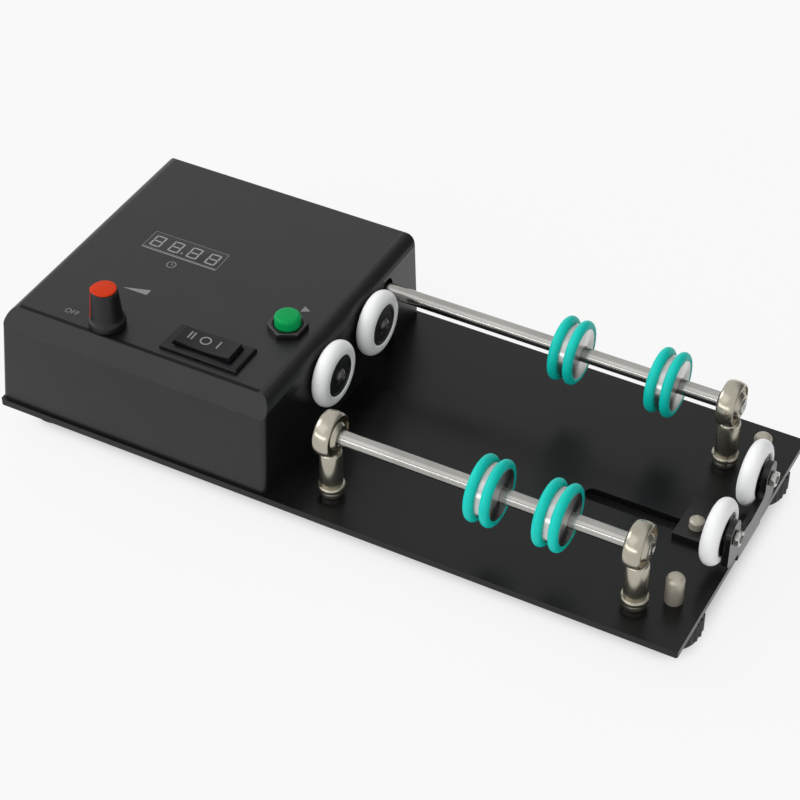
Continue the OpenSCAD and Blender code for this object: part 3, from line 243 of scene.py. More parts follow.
plate_paint = painted_sheet(
    "plate_paint", dark=(0.0035, 0.0035, 0.0040), light=(0.0060, 0.0060, 0.0065),
    smooth=0.24, rough=0.34, specular=0.26)
bracket_paint = painted_sheet(
    "bracket_paint", dark=(0.004, 0.004, 0.0045), light=(0.007, 0.007, 0.0075),
    smooth=0.22, rough=0.30, specular=0.37)
housing_plastic = moulded_plastic(
    "housing_plastic", dark=(0.005, 0.005, 0.0055), light=(0.0075, 0.0075, 0.008),
    smooth=0.30, rough=0.40, specular=0.44)
foot_plastic = moulded_plastic(
    "foot_plastic", dark=(0.018, 0.018, 0.019), light=(0.030, 0.030, 0.031),
    smooth=0.5, rough=0.65)
switch_plastic = moulded_plastic(
    "switch_plastic", dark=(0.003, 0.003, 0.004), light=(0.005, 0.005, 0.0065),
    smooth=0.28, rough=0.4, specular=0.27, pebble=2400, depth=0.008)
knob_plastic = moulded_plastic(
    "knob_plastic", dark=(0.005, 0.005, 0.0055), light=(0.008, 0.008, 0.0085),
    smooth=0.36, rough=0.48, specular=0.36, pebble=2200, depth=0.01)
cap_red = moulded_plastic(
    "cap_red", dark=(0.54, 0.030, 0.002), light=(0.62, 0.038, 0.004),
    smooth=0.40, rough=0.50, specular=0.12, pebble=2400, depth=0.006)
button_green = moulded_plastic(
    "button_green", dark=(0.001, 0.29, 0.072), light=(0.002, 0.35, 0.094),
    smooth=0.26, rough=0.36, specular=0.10, pebble=2600, depth=0.005)
tyre_nylon = moulded_plastic(
    "tyre_nylon", dark=(0.90, 0.905, 0.91), light=(0.94, 0.945, 0.95),
    smooth=0.34, rough=0.46, pebble=1700, depth=0.008)
ring_rubber = moulded_plastic(
    "ring_rubber", dark=(0.003, 0.50, 0.43), light=(0.005, 0.58, 0.50),
    smooth=0.36, rough=0.48, specular=0.18, pebble=1600, depth=0.012)
bearing_shield = moulded_plastic(
    "bearing_shield", dark=(0.008, 0.0085, 0.009), light=(0.018, 0.0185, 0.019),
    smooth=0.34, rough=0.46, pebble=1800, depth=0.01)
display_film = moulded_plastic(
    "display_film", dark=(0.010, 0.010, 0.0105), light=(0.013, 0.013, 0.0135),
    smooth=0.16, rough=0.24, specular=0.45, pebble=900, depth=0.002)
pale_print = moulded_plastic(
    "pale_print", dark=(0.28, 0.28, 0.275), light=(0.34, 0.34, 0.335),
    smooth=0.5, rough=0.6, specular=0.3, pebble=2600, depth=0.004)
faint_print = moulded_plastic(
    "faint_print", dark=(0.20, 0.20, 0.20), light=(0.25, 0.25, 0.25),
    smooth=0.4, rough=0.5, specular=0.3, pebble=2600, depth=0.004)
# painted shade: the dark colour of the strip along the panel's front edge, standing in for that
# edge's shadow
painted_edge_shade = moulded_plastic(
    "painted_edge_shade", dark=(0.004, 0.004, 0.0045), light=(0.006, 0.006, 0.0065),
    smooth=0.5, rough=0.6, specular=0.15, pebble=2600, depth=0.004)
board_lacquer = moulded_plastic(
    "board_lacquer", dark=(0.010, 0.075, 0.030), light=(0.016, 0.11, 0.042),
    smooth=0.25, rough=0.4)
ground_steel = ground_metal(
    "ground_steel", dark=(0.35, 0.342, 0.325), light=(0.42, 0.412, 0.392),
    smooth=0.16, rough=0.26)
warm_nickel = plated_metal(
    "warm_nickel", dark=(0.40, 0.376, 0.308), light=(0.48, 0.45, 0.375),
    smooth=0.21, rough=0.28, metal=0.94)
screw_steel = plated_metal(
    "screw_steel", dark=(0.44, 0.435, 0.415), light=(0.54, 0.53, 0.505),
    smooth=0.24, rough=0.32)
satin_nickel = plated_metal(
    "satin_nickel", dark=(0.41, 0.375, 0.31), light=(0.51, 0.47, 0.395),
    smooth=0.34, rough=0.44, metal=0.45)
dull_steel = plated_metal(
    "dull_steel", dark=(0.11, 0.108, 0.10), light=(0.19, 0.186, 0.175),
    smooth=0.40, rough=0.52)
dark_nickel = plated_metal(
    "dark_nickel", dark=(0.05, 0.05, 0.05), light=(0.09, 0.09, 0.088),
    smooth=0.24, rough=0.36)
liner_bronze = plated_metal(
    "liner_bronze", dark=(0.26, 0.20, 0.12), light=(0.38, 0.30, 0.19),
    smooth=0.3, rough=0.42)
motor_steel = plated_metal(
    "motor_steel", dark=(0.40, 0.40, 0.39), light=(0.55, 0.55, 0.54),
    smooth=0.3, rough=0.45)
standoff_brass = plated_metal(
    "standoff_brass", dark=(0.50, 0.38, 0.16), light=(0.66, 0.52, 0.25),
    smooth=0.25, rough=0.4)
drive_aluminium = turned_metal(
    "drive_aluminium", dark=(0.61, 0.61, 0.60), light=(0.65, 0.65, 0.64),
    smooth=0.34, rough=0.40, axis_y=DRIVE_Y, axis_z=SHAFT_Z)
idler_aluminium = turned_metal(
    "idler_aluminium", dark=(0.61, 0.61, 0.60), light=(0.65, 0.65, 0.64),
    smooth=0.34, rough=0.40, axis_y=IDLER_Y, axis_z=SHAFT_Z)


# ---------------------------------------------------------------- making

def angles(step, counts):
    return [math.radians(step * k) for k in counts]


def turn(shape, geometry, centre, axis, steps):
    """Turns corners and edges once round an axis."""
    bmesh.ops.spin(shape, geom=geometry, cent=centre, axis=axis, angle=math.tau,
                   steps=steps, use_merge=True)
    bmesh.ops.remove_doubles(shape, verts=shape.verts, dist=MERGE)


def face_out(shape):
    bmesh.ops.recalc_face_normals(shape, faces=shape.faces)


def lathe(outline, centre, axis, steps=72, closed=False):
    """Turns an outline of (along the axis, radius) points round the axis through centre."""
    shape = bmesh.new()
    out = UP if axis == ALONG else ALONG
    corners = [shape.verts.new(centre + axis * (a * MM) + out * (r * MM)) for a, r in outline]
    edges = [shape.edges.new(pair) for pair in zip(corners, corners[1:])]
    if closed:
        edges.append(shape.edges.new((corners[-1], corners[0])))
    turn(shape, corners + edges, centre, axis, steps)
    face_out(shape)
    return shape


def ease_edges(shape, width, above, segments):
    """Rounds the edges that turn by more than some degrees."""
    sharp = [e for e in shape.edges if e.is_manifold and e.calc_face_angle() > math.radians(above)]
    bmesh.ops.bevel(shape, geom=sharp, offset=width * MM, offset_type="OFFSET", segments=segments,
                    profile=0.5, affect="EDGES", material=-1, clamp_overlap=True)


def corners_in(geometry):
    return [g for g in geometry if isinstance(g, bmesh.types.BMVert)]


def thicken(shape, faces, step):
    """Draws flat faces out into a solid."""
    drawn = bmesh.ops.extrude_face_region(shape, geom=faces)["geom"]
    bmesh.ops.translate(shape, verts=corners_in(drawn), vec=step)
    face_out(shape)


def together(shapes):
    whole = bmesh.new()
    for shape in shapes:
        part = bpy.data.meshes.new("part")
        shape.to_mesh(part)
        shape.free()
        whole.from_mesh(part)
        bpy.data.meshes.remove(part)
    return whole


def settle(shape, name, finish, body, stands_for=(), smooth=SMOOTH_ANGLE):
    """Makes the shape a piece of the object that rides on a body."""
    mesh = bpy.data.meshes.new(name)
    shape.to_mesh(mesh)
    shape.free()
    mesh.shade_smooth()
    mesh.set_sharp_from_angle(angle=math.radians(smooth))
    mesh.materials.append(finish)
    made = bpy.data.objects.new(name, mesh)
    bpy.context.scene.collection.objects.link(made)
    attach(made, body)
    if stands_for:
        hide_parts(*stands_for)
    return made


def body_of(node):
    return frame["nodes"][node]["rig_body"]


def solid_copy(node):
    """A merged copy of a CAD solid, its flat faces made whole."""
    shape = bmesh.new()
    shape.from_mesh(frame["nodes"][node].data)
    bmesh.ops.remove_doubles(shape, verts=shape.verts, dist=1e-6)
    bmesh.ops.dissolve_limit(shape, angle_limit=math.radians(0.5), verts=shape.verts,
                             edges=shape.edges)
    return shape


def dressed(node, finish, ease, segments=3, smooth=SMOOTH_ANGLE):
    """A CAD solid with its sharp edges eased."""
    made = settle(solid_copy(node), node + "_dressed", finish, body_of(node), [node], smooth)
    if ease:
        bevel = made.modifiers.new("eased_edges", "BEVEL")
        bevel.width = ease * MM
        bevel.segments = segments
        bevel.limit_method = "ANGLE"
        bevel.angle_limit = math.radians(40)
        bevel.use_clamp_overlap = True


def middle(node):
    low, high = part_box(node)
    return (low + high) / 2


def half_size(node):
    low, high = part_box(node)
    return (high - low) / (2 * MM)


def foot_of(node):
    """The middle of the underside of a node's box."""
    low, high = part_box(node)
    return Vector(((low.x + high.x) / 2, (low.y + high.y) / 2, low.z))


# ---------------------------------------------------------------- plate, housing, bracket, feet

dressed("base_plate", plate_paint, ease=0.35)
dressed("control_housing", housing_plastic, ease=0.15, segments=2, smooth=25)
dressed("end_bracket", bracket_paint, ease=0.35)
for foot in ("levelling_foot_front", "levelling_foot_rear", "fixed_feet"):
    dressed(foot, foot_plastic, ease=0.3, segments=2)


# ---------------------------------------------------------------- shafts, balls, rod ends

SHAFT_CHAMFER = 0.4
DIMPLE_R, DIMPLE_DEPTH = 1.1, 0.7
BALL_CHAMFER = 0.5
BALL_STEPS = 9
EYE_HALF = 3.4
# (height, radius) from the rod end's foot upwards, and then against the top of its neck
SHANK_FOOT = [(0, 0), (0, 4.2), (0.3, 4.5), (2.6, 4.5), (2.9, 4.25), (3, 4.25), (3, 4.9),
              (3.4, 5.3), (5.1, 5.3), (5.5, 4.9), (5.5, 4.4), (6.3, 4.4), (6.5, 4.5)]
SHANK_NECK = [(-1.8, 4.5), (-0.6, 4.1), (-0.1, 3.2), (-0.1, 0)]


def ground_shaft(node):
    """Round bar with chamfered ends and a centre dimple in the right one."""
    low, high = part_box(node)
    start = Vector((low.x, (low.y + high.y) / 2, (low.z + high.z) / 2))
    length = (high.x - low.x) / MM
    end_r = SHAFT_R - SHAFT_CHAMFER
    outline = [(0, 0), (0, end_r), (SHAFT_CHAMFER, SHAFT_R), (length - SHAFT_CHAMFER, SHAFT_R),
               (length, end_r), (length, DIMPLE_R), (length - DIMPLE_DEPTH, 0)]
    settle(lathe(outline, start, ALONG), node + "_ground", ground_steel, body_of(node), [node])


def rod_ball(node):
    """Ball cut flat at both ends, bored for the shaft."""
    half, _, r = half_size(node)
    edge = math.asin(half / r)
    turns = [edge * k / BALL_STEPS for k in range(-BALL_STEPS, BALL_STEPS + 1)]
    outline = [(r * math.sin(t), r * math.cos(t)) for t in turns]
    bore = half - BALL_CHAMFER
    outline += [(half, SHAFT_R + BALL_CHAMFER), (bore, SHAFT_R), (-bore, SHAFT_R),
                (-half, SHAFT_R + BALL_CHAMFER)]
    settle(lathe(outline, middle(node), ALONG, closed=True), node + "_polished", warm_nickel,
           body_of(node), [node])


def rod_end(node):
    """Bowed eye on a round shank with a collar."""
    low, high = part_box(node)
    eye_r = (high.y - low.y) / (2 * MM)
    foot = foot_of(node)
    eye_centre = foot + UP * (high.z - low.z - eye_r * MM)
    bow = eye_r - LINER_R - 0.15
    outline = [(EYE_HALF * math.sin(t), eye_r - bow + bow * math.cos(t))
               for t in angles(7.5, range(-12, 13))]
    outline += [(EYE_HALF, LINER_R), (-EYE_HALF, LINER_R)]
    eye = lathe(outline, eye_centre, ALONG, 96, closed=True)
    neck_top = (eye_centre.z - low.z) / MM - LINER_R
    shank = lathe(SHANK_FOOT + [(neck_top + z, r) for z, r in SHANK_NECK], foot, UP, 64)
    settle(together([eye, shank]), node + "_cast", warm_nickel, "frame", [node],
           smooth=50)


for shaft in ("drive_shaft", "idler_shaft"):
    ground_shaft(shaft)
for ball in ("rod_end_ball_front_left", "rod_end_ball_front_right", "rod_end_ball_rear_right"):
    rod_ball(ball)
for end in ("rod_end_front_left", "rod_end_front_right", "rod_end_rear_right"):
    rod_end(end)
dressed("rod_end_liners", liner_bronze, ease=0)


# ---------------------------------------------------------------- rollers and rings

RING_R = 2.0
RING_PITCH = 6.4
SEAT_R = 11.0  # from the shaft's axis to the middle of a ring's section
SEAT_GRIP = 0.98
WAIST_R, WAIST_HALF = 10.6, 1.3
RIM_R, RIM_EASE = 10.25, 0.2
CORE_HALF = 5.0
CORE_CHAMFER = 0.3


def roller_core(node, finish):
    """Turned core: two ring seats, a plain waist between them and a narrow rim at each end."""
    right = [(WAIST_HALF, WAIST_R)]
    right += [(RING_PITCH / 2 + RING_R * math.cos(t), SEAT_R - RING_R * math.sin(t) * SEAT_GRIP)
              for t in angles(15, range(9, 2, -1))]
    right += [(CORE_HALF - RIM_EASE, RIM_R), (CORE_HALF, RIM_R - CORE_CHAMFER),
              (CORE_HALF, SHAFT_R + CORE_CHAMFER), (CORE_HALF - CORE_CHAMFER, SHAFT_R)]
    outline = right + [(-a, r) for a, r in reversed(right)]
    shape = lathe(outline, middle(node), ALONG, 96, closed=True)
    ease_edges(shape, 0.12, above=35, segments=2)
    settle(shape, node + "_turned", finish, body_of(node), [node], smooth=30)


def rubber_ring(centre):
    ring = bmesh.new()
    upright = Matrix.Translation(centre + UP * (SEAT_R * MM)) @ Matrix.Rotation(math.pi / 2, 4, "X")
    section = bmesh.ops.create_circle(ring, cap_ends=False, segments=24, radius=RING_R * MM,
                                      matrix=upright)["verts"]
    rim = list({e for v in section for e in v.link_edges})
    turn(ring, section + rim, centre, ALONG, 80)
    face_out(ring)
    return ring


def rubber_rings(node, cores):
    rings = [rubber_ring(middle(core) + ALONG * (side * MM))
             for core in cores for side in (-RING_PITCH / 2, RING_PITCH / 2)]
    settle(together(rings), node + "_moulded", ring_rubber, body_of(node), [node])


for line, metal in (("drive", drive_aluminium), ("idler", idler_aluminium)):
    roller_core(line + "_roller_inner", metal)
    roller_core(line + "_roller_outer", metal)
    rubber_rings(line + "_rings", [line + "_roller_inner", line + "_roller_outer"])


# ---------------------------------------------------------------- guide wheels

TYRE_CHAMFER = 0.5
BORE_EASE, BORE_GAP = 0.25, 0.05
# (depth under the bearing's face, radius) from the bore outwards: inner race, shield, outer race
SHIELD = [(0, AXLE_R + 0.3), (0, 2.75), (0.15, 2.95), (0.4, 3.05), (0.4, 3.3), (0.28, 3.45),
          (0.28, 6.75), (0.4, 6.95), (0.4, 7.1), (0.12, 7.2), (0, 7.35), (0, BEARING_R - 0.25),
          (0.25, BEARING_R)]


def wheel_tyre(node):
    """Tyre with a round tread."""
    half, _, r = half_size(node)
    seat = half - TYRE_CHAMFER
    outline = [(-half, BEARING_R + TYRE_CHAMFER)]
    outline += [(half * math.sin(t), r - half + half * math.cos(t))
                for t in angles(9, range(-10, 11))]
    outline += [(half, BEARING_R + TYRE_CHAMFER), (seat, BEARING_R), (-seat, BEARING_R)]
    settle(lathe(outline, middle(node), ALONG, 96, closed=True), node + "_moulded", tyre_nylon,
           body_of(node), [node])


def wheel_bearing(node):
    """Ball bearing with a shield between its races."""
    half = half_size(node)[0]
    face = [(half - depth, r) for depth, r in SHIELD]
    bore = half - BORE_EASE
    outline = [(-a, r) for a, r in face] + [(a, r) for a, r in reversed(face)]
    outline += [(bore, AXLE_R + BORE_GAP), (-bore, AXLE_R + BORE_GAP)]
    settle(lathe(outline, middle(node), ALONG, 80, closed=True), node + "_shielded",
           bearing_shield, body_of(node), [node], smooth=25)


for wheel in ("housing_wheel", "bracket_wheel"):
    for end in ("front", "rear"):
        wheel_tyre(f"{wheel}_tyre_{end}")
        wheel_bearing(f"{wheel}_bearing_{end}")
    dressed(wheel + "_screws", dull_steel, ease=0.15, segments=2)
    dressed(wheel + "_nuts", screw_steel, ease=0.3, segments=2)
    dressed(wheel + "_spacers", screw_steel, ease=0.15, segments=2)


# ---------------------------------------------------------------- studs

STUD_CHAMFER = 0.4
DOME_RISE, DOME_WIDTH = 1.15, 0.86  # the width is a share of the stud's radius


def domed_stud(node):
    """Plain stud: a soft dome over a short bevel."""
    low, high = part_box(node)
    r = half_size(node)[0]
    h = (high.z - low.z) / MM
    outline = [(0, 0), (0, r - STUD_CHAMFER), (STUD_CHAMFER, r), (h - 2.0, r),
               (h - 1.55, r * 0.97)]
    outline += [(h - DOME_RISE * (1 - math.cos(t)), r * DOME_WIDTH * math.sin(t))
                for t in angles(10, range(9, 0, -1))]
    outline += [(h, 0)]
    settle(lathe(outline, foot_of(node), UP, 56), node + "_plated", satin_nickel, body_of(node),
           [node], smooth=50)


for stud in ("levelling_stud_front", "levelling_stud_rear"):
    domed_stud(stud)
dressed("clamp_screw", satin_nickel, ease=0.25, segments=2)


# ---------------------------------------------------------------- panel controls

# (height, radius) from the knob's foot: bore, skirt, flare, tapered grip, top edge
KNOB_SIDE = [(0, 3.4), (0, 7.0), (0.1, 7.2), (0.3, 7.3), (2.8, 7.3), (3.05, 7.25), (3.2, 7.1),
             (3.55, 6.6), (3.75, 6.4), (4.05, 6.28), (4.8, 6.19), (10.0, 5.76), (15.6, 5.32),
             (16.0, 5.26), (16.3, 5.12), (16.5, 4.82), (16.5, 3.4)]
KNOB_TURN = math.radians(210)
CAP_R, CAP_THICK = 4.8, 0.9
TIP_REACH, TIP_SPREAD, TIP_CURVE = 0.75, math.radians(50), 1.4
# (radius, height) of the pointer's outline from its foot up to the cap
POINTER_SIDE = [(5.2, 2.6), (6.75, 3.2), (6.42, 4.6), (6.02, 9.6), (5.6, 14.6), (5.5, 16.1),
                (5.2, 16.9), (4.2, 17.25), (4.2, 12)]
POINTER_HALF = 0.6
STEM_R, STEM_DEPTH = 2.5, 10
SKIRT_Z = 2.1
CROWN_R, CROWN_RISE = 1.5, 0.25


def speed_knob():
    """Round tapered grip that flares into a skirt."""
    shape = lathe(KNOB_SIDE, foot_of("speed_knob"), UP, 96, closed=True)
    settle(shape, "speed_knob_grip", knob_plastic, "knob", ["speed_knob"], smooth=45)


def knob_cap():
    """Red inlay: a teardrop on top whose tip runs down the side as a pointer."""
    foot = foot_of("speed_knob")
    top = (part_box("speed_knob_cap")[1].z - foot.z) / MM
    cap = bmesh.new()
    bmesh.ops.create_circle(cap, cap_ends=True, segments=64, radius=CAP_R * MM,
                            matrix=Matrix.Translation(foot + UP * ((top - CAP_THICK) * MM)))
    for corner in cap.verts:
        arm = corner.co.xy - foot.xy
        away = abs((math.atan2(arm.y, arm.x) - KNOB_TURN + math.pi) % math.tau - math.pi)
        if away < TIP_SPREAD:
            reach = TIP_REACH * MM * (1 - away / TIP_SPREAD) ** TIP_CURVE
            corner.co.xy += arm.normalized() * reach
    thicken(cap, cap.faces[:], UP * (CAP_THICK * MM))
    ease_edges(cap, 0.3, above=50, segments=3)
    pointer = bmesh.new()
    side = [pointer.verts.new((r * MM, -POINTER_HALF * MM, z * MM)) for r, z in POINTER_SIDE]
    thicken(pointer, [pointer.faces.new(side)], (0, 2 * POINTER_HALF * MM, 0))
    bmesh.ops.transform(pointer, verts=pointer.verts,
                        matrix=Matrix.Translation(foot) @ Matrix.Rotation(KNOB_TURN, 4, "Z"))
    settle(together([cap, pointer]), "speed_knob_inlay", cap_red, "knob", ["speed_knob_cap"],
           smooth=40)


def start_button():
    """Round button with a soft crown on a thin stem."""
    centre = foot_of("start_button")
    centre.z = PANEL_Z * MM
    rise = (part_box("start_button")[1].z - centre.z) / MM
    r = half_size("start_button")[0]
    outline = [(-STEM_DEPTH, 0), (-STEM_DEPTH, STEM_R), (SKIRT_Z, STEM_R), (SKIRT_Z, r - 0.2),
               (SKIRT_Z + 0.2, r)]
    outline += [(rise - CROWN_RISE - CROWN_R * (1 - math.sin(t)), r - CROWN_R * (1 - math.cos(t)))
                for t in angles(11.25, range(9))]
    outline += [(rise - 0.1, r * 0.4), (rise, 0)]
    settle(lathe(outline, centre, UP), "start_button_cap", button_green, "button",
           ["start_button"], smooth=40)


speed_knob()
knob_cap()
start_button()
dressed("panel_nuts", dark_nickel, ease=0.2, segments=2)
dressed("push_button_body", switch_plastic, ease=0.15, segments=2)
dressed("rocker_frame", switch_plastic, ease=0.3, segments=2)
dressed("rocker_paddle", switch_plastic, ease=0.35, smooth=30)
dressed("time_display", display_film, ease=0.1, segments=2)
dressed("dc_inlet", switch_plastic, ease=0.2, segments=2)


# ---------------------------------------------------------------- print on the panel and the rocker

ROCKER_AXIS_Z = 55
DISH_HALF = 12.09  # half the paddle's dish along x
DISH_RIM = 4.5     # the dish's ends above the axis; its middle is 1 lower
MARK_ROW = 0.9
MARK_WIDTH, MARK_DEPTH = 0.7, 4.2
# (column, row, turn in degrees) of a digit's seven segments
SEGMENTS = ((0, 1, 0), (0, 0, 0), (0, -1, 0),
            (-1, 0.5, 90), (1, 0.5, 90), (-1, -0.5, 90), (1, -0.5, 90))
SEGMENT_HALF, SEGMENT_THICK = 1.85, 0.34
DIGIT_COLUMN, DIGIT_ROW = 2.1, 3.1
DIGIT_PITCH = 8.55
DIGIT_LEAN = 0.03
BORDER_X, BORDER_Y, BORDER_THICK = 17.2, 5.5, 0.25


def bar(centre, width, depth):
    """Flat printed bar, cut into small faces so that it can follow a dish."""
    shape = bmesh.new()
    bmesh.ops.create_grid(shape, x_segments=4, y_segments=4, size=0.5,
                          matrix=Matrix.Translation(centre)
                          @ Matrix.Diagonal((width * MM, depth * MM, 1, 1)))
    return shape


def hoop(centre, r_in, r_out):
    """Flat printed ring."""
    shape = bmesh.new()
    ends = [shape.verts.new(centre + ALONG * (r * MM)) for r in (r_in, r_out)]
    turn(shape, ends + [shape.edges.new(ends)], centre, UP, 48)
    return shape


def facing_up(shape):
    for face in shape.faces:
        face.normal_update()
        if face.normal.z < 0:
            face.normal_flip()
    return shape


def on_panel(x, y):
    return Vector((x, y, PANEL_Z + PRINT_LIFT)) * MM


def panel_edge_painted_shade():
    """Painted shade: a dark strip laid where the panel turns over into the sloping strip."""
    turn_y, turn_z, r, fall, steps = -51.08, 54.32, 1.2, math.radians(40.5), 6
    left_x, length, lead = -141.0, 107.6, 0.8
    spots = [(turn_y + lead, turn_z + r)]
    spots += [(turn_y - r * math.sin(fall * k / steps), turn_z + r * math.cos(fall * k / steps))
              for k in range(steps + 1)]
    line = bmesh.new()
    left = [line.verts.new(Vector((left_x, y, z)) * MM) for y, z in spots]
    edges = [line.edges.new(pair) for pair in zip(left, left[1:])]
    drawn = bmesh.ops.extrude_edge_only(line, edges=edges)["geom"]
    bmesh.ops.translate(line, verts=corners_in(drawn), vec=ALONG * (length * MM))
    settle(facing_up(line), "panel_edge_painted_shade", painted_edge_shade, "frame")


def rocker_marks():
    """The two-bar, ring and one-bar marks on the rocker, laid into its dish."""
    pivot = Vector((middle("rocker_paddle").x, middle("rocker_paddle").y, ROCKER_AXIS_Z * MM))
    row = pivot + Vector((0, MARK_ROW * MM, 0))
    marks = together([
        bar(row + ALONG * (-8.3 * MM), MARK_WIDTH, MARK_DEPTH),
        bar(row + ALONG * (-6.8 * MM), MARK_WIDTH, MARK_DEPTH),
        hoop(row + ALONG * (-1.4 * MM), r_in=1.7, r_out=2.35),
        bar(row + ALONG * (4.4 * MM), MARK_WIDTH, MARK_DEPTH)])
    for corner in marks.verts:
        s = (corner.co.x - pivot.x) / MM / DISH_HALF
        corner.co.z = pivot.z + (DISH_RIM - (1 - s * s) + PRINT_LIFT) * MM
    settle(facing_up(marks), "rocker_marks", faint_print, "rocker")


def segment(column, row, degrees, digit_middle):
    """One bar with pointed ends, in its place in a digit that leans a little."""
    shape = bmesh.new()
    inner = SEGMENT_HALF - SEGMENT_THICK
    corners = [(-SEGMENT_HALF, 0), (-inner, -SEGMENT_THICK), (inner, -SEGMENT_THICK),
               (SEGMENT_HALF, 0), (inner, SEGMENT_THICK), (-inner, SEGMENT_THICK)]
    shape.faces.new([shape.verts.new((x * MM, y * MM, 0)) for x, y in corners])
    spot = Matrix.Translation(((column * DIGIT_COLUMN) * MM, (row * DIGIT_ROW) * MM, 0))
    bmesh.ops.transform(shape, verts=shape.verts,
                        matrix=spot @ Matrix.Rotation(math.radians(degrees), 4, "Z"))
    lean = Matrix.Identity(4)
    lean[0][1] = DIGIT_LEAN
    bmesh.ops.transform(shape, verts=shape.verts, matrix=Matrix.Translation(digit_middle) @ lean)
    return shape


def display_digits():
    """Four seven-segment eights, a dot between the middle pair and a thin border."""
    centre = middle("time_display")
    face = Vector((centre.x, centre.y, (PANEL_Z + PRINT_LIFT) * MM))
    shapes = [segment(*place, face + ALONG * ((k - 1.5) * DIGIT_PITCH * MM))
              for k in range(4) for place in SEGMENTS]
    dot = bmesh.new()
    bmesh.ops.create_circle(dot, cap_ends=True, segments=20, radius=0.42 * MM,
                            matrix=Matrix.Translation(face + Vector((-0.4 * MM, -2.4 * MM, 0))))
    shapes.append(dot)
    settle(facing_up(together(shapes)), "display_segments", pale_print, "frame")
    border = [bar(face + Vector((0, y * MM, 0)), 2 * BORDER_X, BORDER_THICK)
              for y in (-BORDER_Y + 0.7, BORDER_Y)]
    border += [bar(face + Vector((x * MM, 0, 0)), BORDER_THICK, 2 * BORDER_Y)
               for x in (-BORDER_X, BORDER_X)]
    settle(facing_up(together(border)), "display_border", faint_print, "frame")
    front_line = bar(face + Vector((0, -BORDER_Y * MM, 0)), 2 * BORDER_X + 0.3, 0.42)
    settle(facing_up(front_line), "display_front_line", pale_print, "frame")


def off_mark():
    """The word at the knob's stop."""
    curve = bpy.data.curves.new("off_mark", "FONT")
    curve.body = "OFF"
    curve.size = 3.6 * MM
    curve.align_x = "CENTER"
    curve.align_y = "CENTER"
    holder = bpy.data.objects.new("off_mark_curve", curve)
    bpy.context.scene.collection.objects.link(holder)
    bpy.context.view_layer.update()
    evaluated = holder.evaluated_get(bpy.context.evaluated_depsgraph_get())
    flat = bpy.data.meshes.new_from_object(evaluated)
    bpy.data.objects.remove(holder)
    bpy.data.curves.remove(curve)
    shape = bmesh.new()
    shape.from_mesh(flat)
    bpy.data.meshes.remove(flat)
    bmesh.ops.transform(shape, verts=shape.verts,
                        matrix=Matrix.Translation(on_panel(-121.2, -44.9)))
    settle(facing_up(shape), "off_mark", faint_print, "frame")


def panel_symbols():
    """Common signs in place of words: a wedge for speed, a triangle for start, a dial for time."""
    wedge = bmesh.new()
    wedge_spots = ((-112.5, -22.6), (-101.5, -22.6), (-101.5, -19.2))
    wedge.faces.new([wedge.verts.new(on_panel(x, y)) for x, y in wedge_spots])
    triangle = bmesh.new()
    bmesh.ops.create_circle(triangle, cap_ends=True, segments=3, radius=2.2 * MM,
                            matrix=Matrix.Translation(on_panel(-42.4, -1.4))
                            @ Matrix.Rotation(-math.pi / 2, 4, "Z"))
    dial = on_panel(-103.4, -1.6)
    clock = [hoop(dial, r_in=1.65, r_out=2.05),
             bar(dial + Vector((0, 0.55 * MM, 0)), width=0.32, depth=1.2),
             bar(dial + Vector((0.45 * MM, 0, 0)), width=1.0, depth=0.32)]
    settle(facing_up(together([wedge, triangle] + clock)), "panel_symbols", faint_print, "frame")


panel_edge_painted_shade()
rocker_marks()
display_digits()
off_mark()
panel_symbols()


# ---------------------------------------------------------------- nodes that keep their CAD form

kept = {
    "housing_screws": screw_steel, "rod_end_bolts": screw_steel, "motor_screws": screw_steel,
    "potentiometer": motor_steel, "potentiometer_shaft": ground_steel, "gear_motor": motor_steel,
    "motor_bracket": motor_steel, "motor_output_shaft": ground_steel,
    "shaft_coupling": drive_aluminium, "control_board": board_lacquer,
    "board_standoffs": standoff_brass,
}
for node, finish in kept.items():
    for place in frame["nodes"][node].material_slots:
        place.material = finish


# ---------------------------------------------------------------- floor, light, camera

# Places and sizes from here on are metres.
SHADE_INSET_X, SHADE_INSET_Y = 0.016, 0.020  # from the object's box to where the shade fades
SHADE_FADE = 0.016
FLOOR_WHITE = (0.962, 0.962, 0.962, 1)
FLOOR_SHARE = 0.90  # share of plain white past the shade
# floor colour inside the object's box and past it; the dark one is painted shadow
FLOOR_PAINTED_SHADOW, FLOOR_PALE = 0.15, 0.9
FLOOR_REACH = 6
SKY_BRIGHT, SKY_DIM = 0.90, 0.15
LAMP_AIM = (0, 0, 0.03)
# name: place, width and height, watts
LAMPS = {
    "left_lamp": ((-1.7, -0.2, 1.2), (0.9, 0.9), 9),
    "front_lamp": ((-0.57, -0.87, 1.25), (1.1, 1.1), 2.0),
    "front_strip": ((-0.45, -1.25, 0.30), (1.8, 0.16), 3.6),
}
EYE_PLACE = (0.3161, -0.5943, 0.6088)
EYE_HEIGHT, EYE_AZIMUTH = 40.90, 28.13  # degrees


